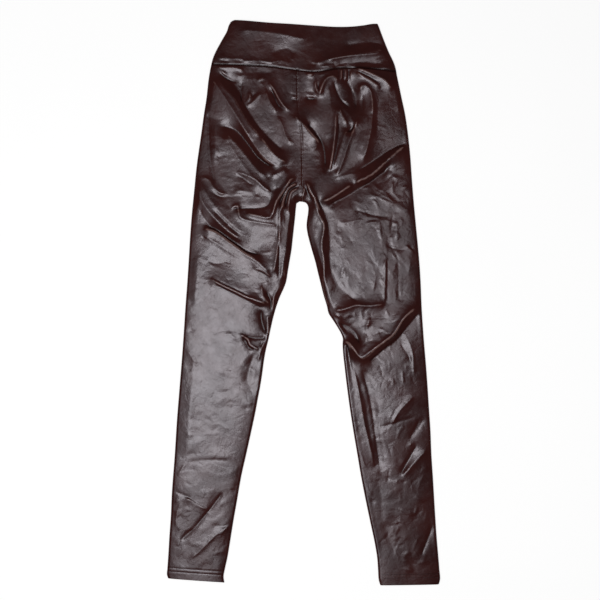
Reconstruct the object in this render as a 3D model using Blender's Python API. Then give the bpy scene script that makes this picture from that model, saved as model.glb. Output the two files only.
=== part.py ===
"""Faux leather leggings lying flat with the front up, as closed solids of cloth.

Two front leg panels and a front waistband band lie on two back leg panels and a back band.
Left and right are the wearer's, so the right leg is at -X. +Y runs up the garment to the waist,
+Z is up from the surface that the leggings lie on. Plan places are (x, down) in millimetres:
x from the middle line, down from the highest point of the waist.
"""
import math
from collections import namedtuple

import bpy
import numpy as np

MM = 0.001

# ---------------------------------------------------------------- sizes, mm
WALL = 1.3              # coated cloth with its knit backing
DOUBLED_WALL = 1.9      # waistband, and the turned hem
HEM_DEPTH = 21.5        # height of the turned hem
SEAM_GAP = 0.3          # between two sewn pieces
SIDE_SEAM_Z = 2.5       # height of the front panels' edge at a side seam or inseam
ROLL = 4.0              # width over which the cloth rolls round an edge
EDGE_TOP = 4.7          # height of the upper layer just inside the edges
LOFT = 2.0              # more height in the middle of a leg
LOFT_REACH = 14.0       # how fast that height comes in from the edges
BAND_PROUD = 0.5        # the band stands this much above the panels
LAYER_GAP = 0.5         # least space between the upper and the lower layer
FOLD_FADE = 10.0        # folds die out over this width towards an edge
FOLD_SPAN = 24.0        # how far the cloth slopes away beside a fold
FOLD_ROUND = 4.0        # half width over which a crest or a trough is rounded
FOLD_END = 12.0         # length over which each end of a fold fades in
FOLD_CELL = 2.0         # cell of the map in which the folds' heights are worked out
CROTCH_DOWN = 318.4     # foot of the centre seam

# Upper edge of the waistband: x, down
WAIST_EDGE = ((-121, 0.6), (-100, 2.2), (-60, 5.8), (-20, 8.2), (20, 11.0), (60, 13.2),
              (85, 12.6), (105, 10.4), (122, 7.6), (130, 7.4))
# Seam between the waistband and the leg panels: x, down
BAND_SEAM = ((-160, 78), (-130, 78.5), (-95, 80), (-60, 82), (-20, 87), (5, 90.5), (25, 91),
             (45, 88), (62, 85.5), (85, 84.5), (112, 85.5), (140, 88), (162, 91))
# The same seam on the back, in two straight runs: x, down
BACK_SEAM = ((-160, 78.3), (-2, 90.5), (162, 90.9))
# Centre seam, band to crotch: down, x
CENTRE_SEAM = ((78, -10.6), (120, -10.2), (160, -8.4), (200, -3.4), (245, -1.8), (318.4, -1.5))
# Outer edge of the right leg (-X), waist to hem: down, x
RIGHT_SIDE = ((0.6, -121), (3, -125.5), (8, -129.2), (20, -133.6), (40, -144.6), (60, -155),
              (70, -158.8), (80, -161.2), (100, -165), (140, -169.8), (160, -173), (200, -178.6),
              (260, -187), (300, -191), (340, -195), (380, -198), (420, -200.4), (460, -203),
              (500, -206), (540, -208.6), (580, -211.4), (640, -216.2), (700, -221),
              (760, -224.8), (830, -230), (870, -231.8), (900, -234), (940, -236.4),
              (960, -237.8), (970, -238.4), (976.5, -236.4))
# Outer edge of the left leg (+X), waist to hem: down, x
LEFT_SIDE = ((7.4, 130), (12, 132), (20, 135), (40, 142.6), (60, 151), (70, 156), (80, 160),
             (100, 164.2), (120, 168.4), (140, 172.6), (160, 177), (200, 183), (240, 187.2),
             (280, 190), (320, 193.2), (360, 197), (400, 200.8), (420, 202.6), (460, 205.2),
             (500, 206.8), (560, 210.8), (600, 214.2), (640, 217.2), (680, 219.8), (720, 222.4),
             (760, 224), (800, 226.6), (860, 230.2), (900, 232.8), (940, 236.2), (960, 237.8),
             (981, 238.6), (987, 236.8))
# Inner edge of the right leg, foot of the centre seam to hem: x, down
RIGHT_INSEAM = ((-1.5, 318.4), (-5, 318.1), (-9, 317.8), (-11.4, 320.2), (-12.6, 327), (-14, 342),
                (-16.2, 362), (-18.4, 382), (-20.6, 402), (-24, 422), (-27, 440), (-30.6, 460),
                (-34.4, 470), (-40, 482), (-46.6, 500), (-52.4, 520), (-57, 540), (-61.2, 560),
                (-66, 580), (-69.4, 600), (-72, 620), (-75.2, 640), (-79, 660), (-83, 682),
                (-90.6, 718), (-99.4, 758), (-108.4, 798), (-115.8, 840), (-122.8, 880),
                (-129.2, 920), (-132.8, 941), (-137, 960), (-139.4, 974), (-138, 983.6))
# Inner edge of the left leg, foot of the centre seam to hem: x, down
LEFT_INSEAM = ((-1.5, 318.4), (3.4, 319.6), (6.6, 322.4), (8.4, 327), (8.4, 336), (6.4, 350),
               (5.6, 360), (7.4, 374), (9.8, 384), (15, 403), (20.6, 422), (25.2, 441),
               (30.2, 461), (35.2, 481), (41, 500), (45, 515), (49, 521), (60, 538), (66.6, 550),
               (69, 557), (68.6, 566), (69.4, 582), (72, 606), (76, 640), (81.4, 680),
               (87.6, 720), (94.4, 760), (101.2, 800), (109, 840), (117.4, 880), (125.4, 918),
               (129.2, 942), (130.6, 962), (132.4, 982), (134.6, 988.6))
# Inner ends of the rows that turn round the foot of the centre seam: x, down, and how far the
# row's end hangs down there from its straight run
RIGHT_TURN = ((-1.65, 318.4, 5.2), (-5.6, 318.05, 3.0), (-9.9, 318.5, 1.4))
LEFT_TURN = ((-1.35, 318.4, 5.2), (3.0, 319.5, 3.4), (6.7, 322.5, 1.8))
TURN_END = 327.0        # the next row below the crotch
# Rows that stay on the corners of each inner edge: down
RIGHT_CORNERS = (461.0, 552.0)
LEFT_CORNERS = (358.0, 516.0, 557.5)
# Distance between the rows of a front panel: down, spacing. They close up at the knees.
ROW_SPACING = ((88, 10.5), (318, 10), (327, 11), (440, 12), (490, 8.5), (600, 8.5), (660, 16), (970, 27))

# Large folds of the front: how high the line of each stands (a trough is below 0), and its route.
Fold = namedtuple("Fold", "rise route")
FOLDS = (
    # right hip and thigh: long diagonals that run in to the crotch
    Fold(4.2, ((-152, 98), (-131, 122), (-113, 150), (-90, 188), (-70, 215), (-48, 238), (-22, 254))),
    Fold(-1.8, ((-142, 96), (-118, 118), (-104, 146), (-84, 180), (-60, 208), (-33, 232))),
    Fold(3.2, ((-163, 99), (-140, 138), (-120, 172), (-100, 200), (-73, 236), (-50, 251), (-27, 254))),
    Fold(-1.8, ((-147, 184), (-118, 194), (-98, 216), (-80, 240), (-52, 259))),
    Fold(2.9, ((-137, 198), (-113, 222), (-93, 247), (-72, 270), (-58, 276))),
    Fold(3.1, ((-62, 277), (-44, 269), (-24, 259))),
    Fold(2.8, ((-140, 200), (-125, 225), (-98, 264), (-80, 283), (-65, 297), (-51, 300))),
    Fold(2.8, ((-51, 300), (-38, 280), (-25, 260))),
    Fold(2.1, ((-126, 300), (-102, 300), (-78, 306))),
    Fold(3.5, ((-10, 279), (-28, 287), (-43, 306), (-51, 324), (-57, 345), (-80, 343), (-106, 337))),
    Fold(2.5, ((-128, 338), (-117, 327), (-110, 346), (-82, 354), (-40, 361))),
    Fold(2.8, ((-172, 300), (-155, 325), (-140, 343), (-112, 368), (-80, 383))),
    Fold(3.5, ((-186, 292), (-176, 320), (-160, 341), (-140, 362), (-120, 378), (-84, 394))),
    Fold(-2.1, ((-172, 357), (-145, 373), (-120, 390), (-98, 406), (-72, 411))),
    Fold(3.6, ((-178, 366), (-155, 370), (-130, 388), (-105, 406), (-80, 423), (-56, 446))),
    Fold(2.2, ((-94, 430), (-72, 440), (-52, 453))),
    Fold(2.9, ((-167, 450), (-130, 468), (-100, 483), (-60, 498))),
    Fold(3.1, ((-28, 318), (-40, 333), (-41, 362), (-44, 400), (-50, 432), (-54, 448))),
    Fold(2.5, ((-23, 325), (-21, 350), (-22, 378), (-29, 405), (-33, 435), (-34, 458))),
    # right knee, calf and ankle
    Fold(-1.0, ((-79, 506), (-74, 530), (-65, 551))),
    Fold(-0.9, ((-84, 576), (-92, 602), (-97, 632), (-86, 656))),
    Fold(-0.3, ((-170, 707), (-148, 706), (-126, 718))),
    Fold(-0.3, ((-174, 749), (-150, 748), (-126, 753))),
    Fold(0.4, ((-205, 764), (-160, 762), (-120, 765))),
    Fold(-0.6, ((-139, 825), (-160, 852), (-182, 880), (-215, 910))),
    Fold(0.7, ((-228, 825), (-205, 835), (-185, 846), (-164, 858))),
    Fold(0.7, ((-124, 883), (-150, 900), (-175, 922), (-202, 945))),
    # left hip: arches below the seam, then ridges that close in on the crotch
    Fold(3.2, ((27, 137), (32, 118), (45, 101), (55, 102), (62, 116))),
    Fold(-2.1, ((53, 110), (62, 136), (76, 151), (88, 161))),
    Fold(2.9, ((61, 149), (57, 168), (56, 192), (52, 225), (46, 268))),
    Fold(2.5, ((78, 188), (70, 212), (62, 238), (53, 266))),
    Fold(2.5, ((97, 170), (85, 200), (75, 228), (65, 256), (55, 278))),
    Fold(3.5, ((88, 84), (115, 94), (142, 107), (158, 128))),
    Fold(2.8, ((88, 90), (115, 106), (138, 124))),
    Fold(2.5, ((98, 132), (104, 117), (114, 120), (120, 142), (120, 172), (112, 220), (103, 250))),
    Fold(3.2, ((-20, 165), (0, 184), (18, 205), (30, 218))),
    Fold(-2.1, ((5, 178), (28, 208), (37, 235), (41, 264))),
    Fold(4.2, ((178, 220), (147, 246), (118, 272), (86, 287))),
    Fold(3.5, ((88, 286), (72, 297), (52, 310), (28, 321))),
    Fold(-1.8, ((184, 215), (150, 230), (120, 249), (92, 266))),
    Fold(-2.0, ((152, 254), (125, 277), (98, 295), (70, 311), (42, 324))),
    # left thigh: a crest down the inner side that turns across above the knee
    Fold(2.2, ((5, 281), (16, 303), (25, 335), (36, 360), (33, 392), (36, 425), (35, 460), (40, 488),
           (50, 507))),
    Fold(-1.4, ((24, 312), (39, 345), (46, 380), (47, 430), (56, 457), (76, 480), (94, 492))),
    Fold(2.5, ((50, 508), (75, 505), (92, 499), (110, 501), (145, 497))),
    Fold(0.6, ((144, 412), (144, 450), (145, 498))),
    Fold(0.6, ((165, 405), (166, 450), (164, 490))),
    # left knee: one deep fold across, then a long trough down the shin
    Fold(4.9, ((199, 501), (176, 521), (158, 548), (130, 571), (101, 591), (88, 576), (70, 558))),
    Fold(-2.8, ((58, 532), (84, 546), (98, 568))),
    Fold(-2.1, ((202, 511), (183, 534), (165, 556), (140, 576), (112, 600))),
    Fold(1.8, ((119, 515), (106, 547))),
    Fold(-2.0, ((76, 562), (82, 598), (98, 635), (108, 670), (114, 710), (122, 750), (128, 790))),
    Fold(-1.1, ((128, 798), (136, 835), (137, 868), (147, 900), (161, 938))),
    Fold(0.9, ((197, 656), (172, 677), (152, 709))),
    Fold(-0.8, ((213, 692), (198, 713), (185, 739))),
    Fold(-1.0, ((200, 740), (184, 770), (167, 799))),
    Fold(0.8, ((218, 749), (192, 776), (171, 800))),
    Fold(-0.9, ((230, 877), (216, 910), (204, 941))),
    # large soft waves of the waistband
    Fold(1.7, ((-112, 18), (-50, 24), (8, 36))),
    Fold(2.9, ((16, 80), (55, 72), (100, 67), (144, 61))),
    Fold(-1.4, ((70, 47), (115, 41), (142, 45))),
    Fold(-1.1, ((-60, 62), (-28, 52), (-10, 64))),
)

# Columns of each net: angles of those round an edge's roll, and how many lie evenly between
FRONT_COLUMNS = ((0, 32, 58, 90), 13)
BACK_COLUMNS = ((0, 50, 90), 1)
BAND_COLUMNS = ((0, 32, 58, 90), 20)
BACK_BAND_COLUMNS = ((0, 50, 90), 8)
NEXT_COLUMN = 9.0       # one more column this far in from each edge
BAND_ROWS = 7
BACK_BAND_ROWS = 4
TURN_WIDTH = 9.0        # width over which a row's end hangs down at the crotch

# Colour, roughness and metallic value of the coated cloth
COATED = ((0.036, 0.017, 0.016, 1.0), 0.36, 0.0)


# ---------------------------------------------------------------- curves
def table_curve(table, at):
    """Smooth curve through a two-column table (place, value), read at the places `at`."""
    place, value = np.array(table, float).T
    slope = np.gradient(value, place)
    at = np.clip(np.asarray(at, float), place[0], place[-1])
    k = np.clip(np.searchsorted(place, at) - 1, 0, len(place) - 2)
    span = place[k + 1] - place[k]
    t = (at - place[k]) / span
    return (value[k] * (1 + 2 * t) * (1 - t) ** 2 + slope[k] * span * t * (1 - t) ** 2
            + value[k + 1] * t * t * (3 - 2 * t) - slope[k + 1] * span * t * t * (1 - t))


def route_curve(route, step):
    """Points about `step` apart on a smooth curve through a route's own points."""
    pts = np.array(route, float)
    run = np.concatenate([[0.0], np.cumsum(np.hypot(*np.diff(pts, axis=0).T))])
    at = np.linspace(0.0, run[-1], max(2, int(run[-1] / step) + 1))
    return np.stack([table_curve(np.stack([run, pts[:, c]], 1), at) for c in (0, 1)], axis=1)


def smooth_step(t):
    """0 to 1 with level ends."""
    t = np.clip(t, 0.0, 1.0)
    return t * t * (3.0 - 2.0 * t)


def nearest(points, line):
    """Distance from each plan point to a line, and the line's normal there."""
    start, span = line[:-1], np.diff(line, axis=0)
    length = np.hypot(*span.T)
    rel = points[:, None, :] - start[None]
    t = np.clip((rel * span).sum(2) / (length ** 2), 0.0, 1.0)
    off = rel - t[..., None] * span
    dist = np.hypot(off[..., 0], off[..., 1])
    k = dist.argmin(axis=1)
    normal = np.stack([-span[k, 1], span[k, 0]], 1) / length[k, None]
    return dist[np.arange(len(points)), k], normal


# ---------------------------------------------------------------- folds
class FoldMap:
    """Height map of the folds: a light sheet stretched over the crests and pulled down to the troughs.

    The sheet settles where (sum of its four neighbours - 4 height) - (cell / span)^2 height
    + pull (line - height) is 0, so it slopes evenly between lines that are near each other and dies
    out over the span beyond them. It is then smoothed with a bell, which rounds its crests.
    """

    LOW = np.array([-252.0, -12.0])         # its first corner: x, down
    SIZE = (1014.0, 504.0)                  # down and across
    ROUNDS = 400                            # settling steps

    def __init__(self):
        self.shape = tuple(int(side / FOLD_CELL) for side in self.SIZE)
        pull, lift = self.lines()
        hold = 4.0 + (FOLD_CELL / FOLD_SPAN) ** 2 + pull
        sheet = np.zeros(self.shape)
        for _ in range(self.ROUNDS):
            around = np.pad(sheet, 1)
            around = around[:-2, 1:-1] + around[2:, 1:-1] + around[1:-1, :-2] + around[1:-1, 2:]
            sheet = (around + lift) / hold
        self.sheet = self.smoothed(sheet)

    def cells(self, points):
        """Cell of each plan point, its row and column, with the shares of its four corners."""
        grid = np.clip((points - self.LOW) / FOLD_CELL, 0, np.array(self.shape[::-1]) - 1.001)
        col, row = np.floor(grid).astype(int).T
        fx, fy = (grid - np.floor(grid)).T
        shares = ((0, 0, (1 - fx) * (1 - fy)), (0, 1, fx * (1 - fy)), (1, 0, (1 - fx) * fy), (1, 1, fx * fy))
        return row, col, shares

    def lines(self):
        """How hard the folds' lines pull on each cell, and that pull times their height."""
        pull, lift = np.zeros(self.shape), np.zeros(self.shape)
        for fold in FOLDS:
            line = route_curve(fold.route, 0.5)
            along = np.arange(len(line)) * 0.5
            end = smooth_step(np.minimum(along, along[-1] - along) / FOLD_END)
            strength = 1.2 * end + 0.02
            row, col, shares = self.cells(line)
            for down, across, share in shares:
                np.add.at(pull, (row + down, col + across), strength * share)
                np.add.at(lift, (row + down, col + across), strength * share * fold.rise * end)
        return pull, lift

    def smoothed(self, sheet):
        """The sheet blurred by a bell of width FOLD_ROUND, along each axis in turn."""
        reach = int(3 * FOLD_ROUND / FOLD_CELL)
        bell = np.exp(-0.5 * (np.arange(-reach, reach + 1) * FOLD_CELL / FOLD_ROUND) ** 2)
        bell /= bell.sum()
        for axis in (0, 1):
            size = sheet.shape[axis]
            padded = np.pad(sheet, [(reach, reach) if side == axis else (0, 0) for side in (0, 1)])
            sheet = sum(w * padded.take(range(k, k + size), axis) for k, w in enumerate(bell))
        return sheet

    def height(self, points):
        """Height of the folds at plan points."""
        row, col, shares = self.cells(points)
        return sum(share * self.sheet[row + down, col + across] for down, across, share in shares)


# ---------------------------------------------------------------- plan of the garment
def side_line(table):
    """Outer edge of a leg as plan points, waist to hem."""
    down = np.arange(table[0][0], table[-1][0] + 0.01, 4.0)
    down = np.append(down[:-1], table[-1][0])
    return np.stack([table_curve(table, down), down], 1)


RIGHT_OUT = side_line(RIGHT_SIDE)
LEFT_OUT = side_line(LEFT_SIDE)
RIGHT_IN = route_curve(RIGHT_INSEAM, 3.0)
LEFT_IN = route_curve(LEFT_INSEAM, 3.0)


def centre_seam(down):
    """x of the centre seam: the folds of the hip draw it over to one side at its top."""
    return table_curve(CENTRE_SEAM, down)


def band_seam(x, back):
    """How far down the waistband's seam lies at x, on the front or on the back."""
    return np.interp(x, *np.array(BACK_SEAM, float).T) if back else table_curve(BAND_SEAM, x)


def net_columns(width, columns):
    """Places across a row: a few close to each edge for the roll, the rest evenly spaced."""
    angles, inside = columns
    edge = [ROLL * (1 - math.cos(math.radians(a))) for a in angles] + [NEXT_COLUMN]
    middle = np.linspace(NEXT_COLUMN, width - NEXT_COLUMN, inside + 2)[1:-1]
    return np.concatenate([edge, middle, [width - r for r in reversed(edge)]]) / width


def spaced_rows(start, end, corners, coarse):
    """Row places from start to end at ROW_SPACING, the nearest ones moved on to the corners.

    A coarse net has every second row, and keeps the corners.
    """
    place, gap = np.array(ROW_SPACING, float).T
    fine = np.linspace(start, end, 400)
    count = np.concatenate([[0.0], np.cumsum(np.diff(fine) / np.interp(fine[:-1], place, gap))])
    whole = max(2, round(count[-1]))
    rows = np.interp(np.linspace(0.0, count[-1], whole + 1), count, fine)
    keep = {0, whole}
    for corner in corners:
        k = int(np.abs(rows - corner).argmin())
        rows[k] = corner
        keep.add(k)
    return [rows[k] for k in range(whole + 1) if not coarse or k % 2 == 0 or k in keep]


def leg_net(side, back):
    """Plan net of one leg panel, from its outer edge to the centre seam and the inseam.

    side is -1 for the right leg and 1 for the left one. The rows follow the band seam at the
    top, run straight across, turn round the foot of the centre seam and end along the hem.
    """
    out_table = RIGHT_SIDE if side < 0 else LEFT_SIDE
    inner = RIGHT_IN if side < 0 else LEFT_IN
    columns = BACK_COLUMNS if back else FRONT_COLUMNS
    hem_out, hem_in = out_table[-1][0], inner[-1, 1]
    top_out = 78.3 if side < 0 else 90.9
    top_in = float(table_curve(BAND_SEAM, centre_seam(88.0)))

    ends = []                                   # row's level, inner x, inner down, hang
    for down in spaced_rows(top_in, CROTCH_DOWN - 9.0, (), back):
        ends.append((down, centre_seam(down) + side * SEAM_GAP / 2, down, 0.0))
    for x, down, hang in RIGHT_TURN if side < 0 else LEFT_TURN:
        ends.append((down - hang, x, down, hang))
    hem_rows = [hem_in - HEM_DEPTH - 3.0, hem_in - HEM_DEPTH, hem_in - HEM_DEPTH / 2, hem_in]
    corners = RIGHT_CORNERS if side < 0 else LEFT_CORNERS
    below = inner[inner[:, 1] > TURN_END - 4.0]
    for down in spaced_rows(TURN_END, hem_rows[0], corners, back) + hem_rows[1:]:
        ends.append((down, float(np.interp(down, below[:, 1], below[:, 0])), down, 0.0))

    net = []
    for level, x_in, down_in, hang in ends:
        # rows tilt evenly, from the band seam to the hem
        down_out = top_out + (hem_out - top_out) * (level - top_in) / (hem_in - top_in)
        x_out = float(table_curve(out_table, down_out))
        width = abs(x_in - x_out)
        s = net_columns(width, columns)
        x = x_out + (x_in - x_out) * s
        down = down_out + (level - down_out) * s + hang * smooth_step(1 - (1 - s) * width / TURN_WIDTH)
        seam = band_seam(x, back) - (top_out + (top_in - top_out) * s)
        net.append(np.stack([x, down + seam * (1 - smooth_step((level - top_in) / 50.0))], 1))
    return np.array(net)


def band_net(back):
    """Plan net of a waistband piece, from its upper edge to the seam with the panels."""
    top_l, top_r = RIGHT_SIDE[0], LEFT_SIDE[0]
    rows, columns = (BACK_BAND_ROWS, BACK_BAND_COLUMNS) if back else (BAND_ROWS, BAND_COLUMNS)
    net = []
    for t in np.linspace(0.0, 1.0, rows) ** 1.1:
        down_l = top_l[0] + (78.3 - SEAM_GAP - top_l[0]) * t
        down_r = top_r[0] + (90.9 - SEAM_GAP - top_r[0]) * t
        x_l = float(table_curve(RIGHT_SIDE, down_l))
        x_r = float(table_curve(LEFT_SIDE, down_r))
        s = net_columns(x_r - x_l, columns)
        upper = table_curve(WAIST_EDGE, top_l[1] + (top_r[1] - top_l[1]) * s)
        x_seam = table_curve(RIGHT_SIDE, 78.3) * (1 - s) + table_curve(LEFT_SIDE, 90.9) * s
        lower = band_seam(x_seam, back) - SEAM_GAP
        net.append(np.stack([x_l + (x_r - x_l) * s, upper + (lower - upper) * t], 1))
    return np.array(net)


# ---------------------------------------------------------------- walls
def edge_reach(points, lines):
    """Distance to the nearest rolled edge and the direction inward from it, plan points."""
    best = np.full(len(points), 1e9)
    inward = np.zeros((len(points), 2))
    for line, turn in lines:
        dist, normal = nearest(points, line)
        closer = dist < best
        best[closer] = dist[closer]
        inward[closer] = turn * normal[closer]
    return best, inward


def upper_wall(net, lines, folds, wall, proud):
    """Outer and inner skins of a front piece from its plan net.

    height = side seam + (edge height + loft + folds - side seam) * quarter-round roll, and the
    inner skin is the same form one wall lower and one wall further in round the roll.
    """
    plan = net.reshape(-1, 2)
    reach, inward = edge_reach(plan, lines)
    roll = np.sqrt(1 - (1 - np.clip(reach / ROLL, 0, 1)) ** 2)
    full = EDGE_TOP + proud + LOFT * (1 - np.exp(-reach / LOFT_REACH))
    full += folds.height(plan) * smooth_step((reach - 1.0) / FOLD_FADE)
    wall = wall.ravel()
    least = WALL + LAYER_GAP + wall + np.where(wall > WALL, DOUBLED_WALL - WALL, 0)
    full = least + np.logaddexp(0.0, (full - least) / 0.6) * 0.6
    outer = np.column_stack([plan, SIDE_SEAM_Z + (full - SIDE_SEAM_Z) * roll])
    # measured straight down, a wall on a slope is deeper than it is thick
    deep = np.minimum(wall * lean_factor(net, full.reshape(net.shape[:2])).ravel(), full - least + wall)
    shift = inward * (wall * np.clip(1 - reach / ROLL, 0, 1))[:, None]
    inner = np.column_stack([plan + shift, SIDE_SEAM_Z + (full - deep - SIDE_SEAM_Z) * roll])
    return outer.reshape(*net.shape[:2], 3), inner.reshape(*net.shape[:2], 3)


def lean_factor(net, height):
    """How much deeper than its thickness a sloping wall is, from 1 to 1.4, over a net."""
    rise_row = np.gradient(height, axis=0) / np.hypot(*np.gradient(net, axis=0).transpose(2, 0, 1))
    rise_col = np.gradient(height, axis=1) / np.hypot(*np.gradient(net, axis=1).transpose(2, 0, 1))
    return np.clip(np.sqrt(1 + rise_row ** 2 + rise_col ** 2), 1.0, 1.4)


def lower_wall(net, lines, wall):
    """Outer and inner skins of a back piece: flat on the surface, rolled up at its edges."""
    plan = net.reshape(-1, 2)
    reach, inward = edge_reach(plan, lines)
    roll = np.sqrt(1 - (1 - np.clip(reach / ROLL, 0, 1)) ** 2)
    edge = SIDE_SEAM_Z - SEAM_GAP
    outer = np.column_stack([plan, edge * (1 - roll)])
    shift = inward * (wall.ravel() * np.clip(1 - reach / ROLL, 0, 1))[:, None]
    inner = np.column_stack([plan + shift, edge + (wall.ravel() - edge) * roll])
    return outer.reshape(*net.shape[:2], 3), inner.reshape(*net.shape[:2], 3)


def leg_wall(net):
    """Wall thickness over a leg net: doubled in the turned hem at its foot."""
    wall = np.full(net.shape[:2], WALL)
    wall[-3:] = DOUBLED_WALL
    return wall


def keep_side(skin, side):
    """Keeps a leg panel on its own side of the centre seam."""
    limit = centre_seam(skin[..., 1]) + side * SEAM_GAP / 2
    above = skin[..., 1] < CROTCH_DOWN + 1.0
    held = np.maximum(skin[..., 0], limit) if side > 0 else np.minimum(skin[..., 0], limit)
    skin[..., 0] = np.where(above, held, skin[..., 0])
    return skin


def closed_wall(name, top, bottom, middle, material):
    """One closed solid between two nets of the same size, the first one above the second.

    middle is the plan place (x, down) that comes to the origin.
    """
    rows, cols = top.shape[:2]
    verts = np.concatenate([top.reshape(-1, 3), bottom.reshape(-1, 3)])
    place = np.stack([verts[:, 0] - middle[0], middle[1] - verts[:, 1], verts[:, 2]], 1) * MM
    at = np.arange(rows * cols).reshape(rows, cols)
    low = at + rows * cols
    faces = []
    for i in range(rows - 1):
        for j in range(cols - 1):
            a, b, c, d = at[i, j], at[i + 1, j], at[i + 1, j + 1], at[i, j + 1]
            e, f, g, h = low[i, j], low[i + 1, j], low[i + 1, j + 1], low[i, j + 1]
            # each cell is split along its more level diagonal, so crests stay whole
            if abs(verts[a, 2] - verts[c, 2]) <= abs(verts[b, 2] - verts[d, 2]):
                faces += [(a, b, c), (a, c, d), (e, g, f), (e, h, g)]
            else:
                faces += [(a, b, d), (b, c, d), (e, h, f), (f, h, g)]
    rim = ([(i, 0) for i in range(rows)] + [(rows - 1, j) for j in range(1, cols)]
           + [(i, cols - 1) for i in range(rows - 2, -1, -1)] + [(0, j) for j in range(cols - 2, 0, -1)])
    for k, here in enumerate(rim):
        there = rim[(k + 1) % len(rim)]
        faces += [(at[here], low[here], low[there]), (at[here], low[there], at[there])]
    mesh = bpy.data.meshes.new(name)
    mesh.from_pydata(place.tolist(), [], [tuple(int(n) for n in f) for f in faces])
    if mesh_volume(place, faces) < 0:
        mesh.flip_normals()
    mesh.materials.append(material)
    mesh.shade_smooth()
    mesh.set_sharp_from_angle(angle=math.radians(70))
    obj = bpy.data.objects.new(name, mesh)
    bpy.context.scene.collection.objects.link(obj)
    return obj


def mesh_volume(place, faces):
    """Signed volume of a triangle mesh, above 0 where its faces point out."""
    tri = place[np.array(faces)]
    return float(np.einsum("ij,ij->i", tri[:, 0], np.cross(tri[:, 1], tri[:, 2])).sum() / 6)


def coated_material(name):
    """Principled material of the coated cloth."""
    colour, roughness, metallic = COATED
    material = bpy.data.materials.new(name)
    material.use_nodes = True
    shader = material.node_tree.nodes["Principled BSDF"]
    shader.inputs["Base Color"].default_value = colour
    shader.inputs["Roughness"].default_value = roughness
    shader.inputs["Metallic"].default_value = metallic
    return material


# ---------------------------------------------------------------- the leggings
def build():
    """Clears the scene and makes the six pieces of cloth."""
    for obj in list(bpy.data.objects):
        bpy.data.objects.remove(obj, do_unlink=True)

    plans = {side: leg_net(side, False) for side in (-1, 1)}
    band = band_net(False)
    ends = np.concatenate([net.reshape(-1, 2) for net in (*plans.values(), band)])
    middle = (ends.min(0) + ends.max(0)) / 2
    folds = FoldMap()

    for word, side, out_line, in_line in (("right", -1, RIGHT_OUT, RIGHT_IN), ("left", 1, LEFT_OUT, LEFT_IN)):
        # the normal of a line that runs down the page points to -X, so each edge turns it inward
        lines = ((out_line, side), (in_line, -side))
        outer, inner = upper_wall(plans[side], lines, folds, leg_wall(plans[side]), 0.0)
        closed_wall(f"front_panel_{word}", keep_side(outer, side), keep_side(inner, side), middle,
                    coated_material(f"front_panel_{word}_cloth"))
        net = leg_net(side, True)
        outer, inner = lower_wall(net, lines, leg_wall(net))
        closed_wall(f"back_panel_{word}", keep_side(inner, side), keep_side(outer, side), middle,
                    coated_material(f"back_panel_{word}_cloth"))

    lines = ((RIGHT_OUT, -1), (LEFT_OUT, 1))
    outer, inner = upper_wall(band, lines, folds, np.full(band.shape[:2], DOUBLED_WALL), BAND_PROUD)
    closed_wall("waistband_front", outer, inner, middle, coated_material("waistband_front_cloth"))
    net = band_net(True)
    outer, inner = lower_wall(net, lines, np.full(net.shape[:2], DOUBLED_WALL))
    closed_wall("waistband_back", inner, outer, middle, coated_material("waistband_back_cloth"))


build()
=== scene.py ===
"""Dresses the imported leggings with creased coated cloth, their sewing, a pale floor and studio light.

The leggings lie flat with the front up. Left and right are the wearer's, so the right leg is at -X.
Plan places are (x, down) in millimetres: x from the middle line, down from the highest point of the
waist. Heights are millimetres above the floor. Meshes are in metres.
"""
from __future__ import annotations

import logging
import math
from collections.abc import Sequence
from dataclasses import dataclass
from enum import Enum
from typing import NamedTuple

import bpy
import numpy as np
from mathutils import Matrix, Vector

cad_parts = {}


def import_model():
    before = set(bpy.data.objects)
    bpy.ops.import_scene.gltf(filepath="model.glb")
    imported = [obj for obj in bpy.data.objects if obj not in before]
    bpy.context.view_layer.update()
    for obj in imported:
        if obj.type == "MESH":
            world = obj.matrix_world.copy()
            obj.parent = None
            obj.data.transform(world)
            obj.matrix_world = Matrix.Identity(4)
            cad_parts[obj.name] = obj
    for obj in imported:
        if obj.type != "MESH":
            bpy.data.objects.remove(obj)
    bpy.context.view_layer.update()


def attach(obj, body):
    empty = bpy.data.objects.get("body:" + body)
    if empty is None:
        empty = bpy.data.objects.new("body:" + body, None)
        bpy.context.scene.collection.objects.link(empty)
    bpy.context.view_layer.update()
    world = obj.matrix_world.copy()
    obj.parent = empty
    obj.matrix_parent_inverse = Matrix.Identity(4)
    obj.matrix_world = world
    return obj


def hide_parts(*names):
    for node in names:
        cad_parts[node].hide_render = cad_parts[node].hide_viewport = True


log = logging.getLogger("leggings")

MM = 0.001
Array = np.ndarray
Table = tuple[tuple[float, ...], ...]


# ------------------------------------------------------------------------------------------ curves
def table_curve(table: Table | Array, at: Array | float) -> Array:
    """Reads a smooth curve through a two-column table.

    The curve is a cubic through the table's points, whose slopes are those of their neighbours.

    Args:
        table: rows of (place, value), place rising.
        at: places to read.

    Returns:
        The values there.
    """
    place, value = np.array(table, float).T
    slope = np.gradient(value, place)
    at = np.clip(np.asarray(at, float), place[0], place[-1])
    k = np.clip(np.searchsorted(place, at) - 1, 0, len(place) - 2)
    span = place[k + 1] - place[k]
    t = (at - place[k]) / span
    return (value[k] * (1 + 2 * t) * (1 - t) ** 2 + slope[k] * span * t * (1 - t) ** 2
            + value[k + 1] * t * t * (3 - 2 * t) - slope[k + 1] * span * t * t * (1 - t))


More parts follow.
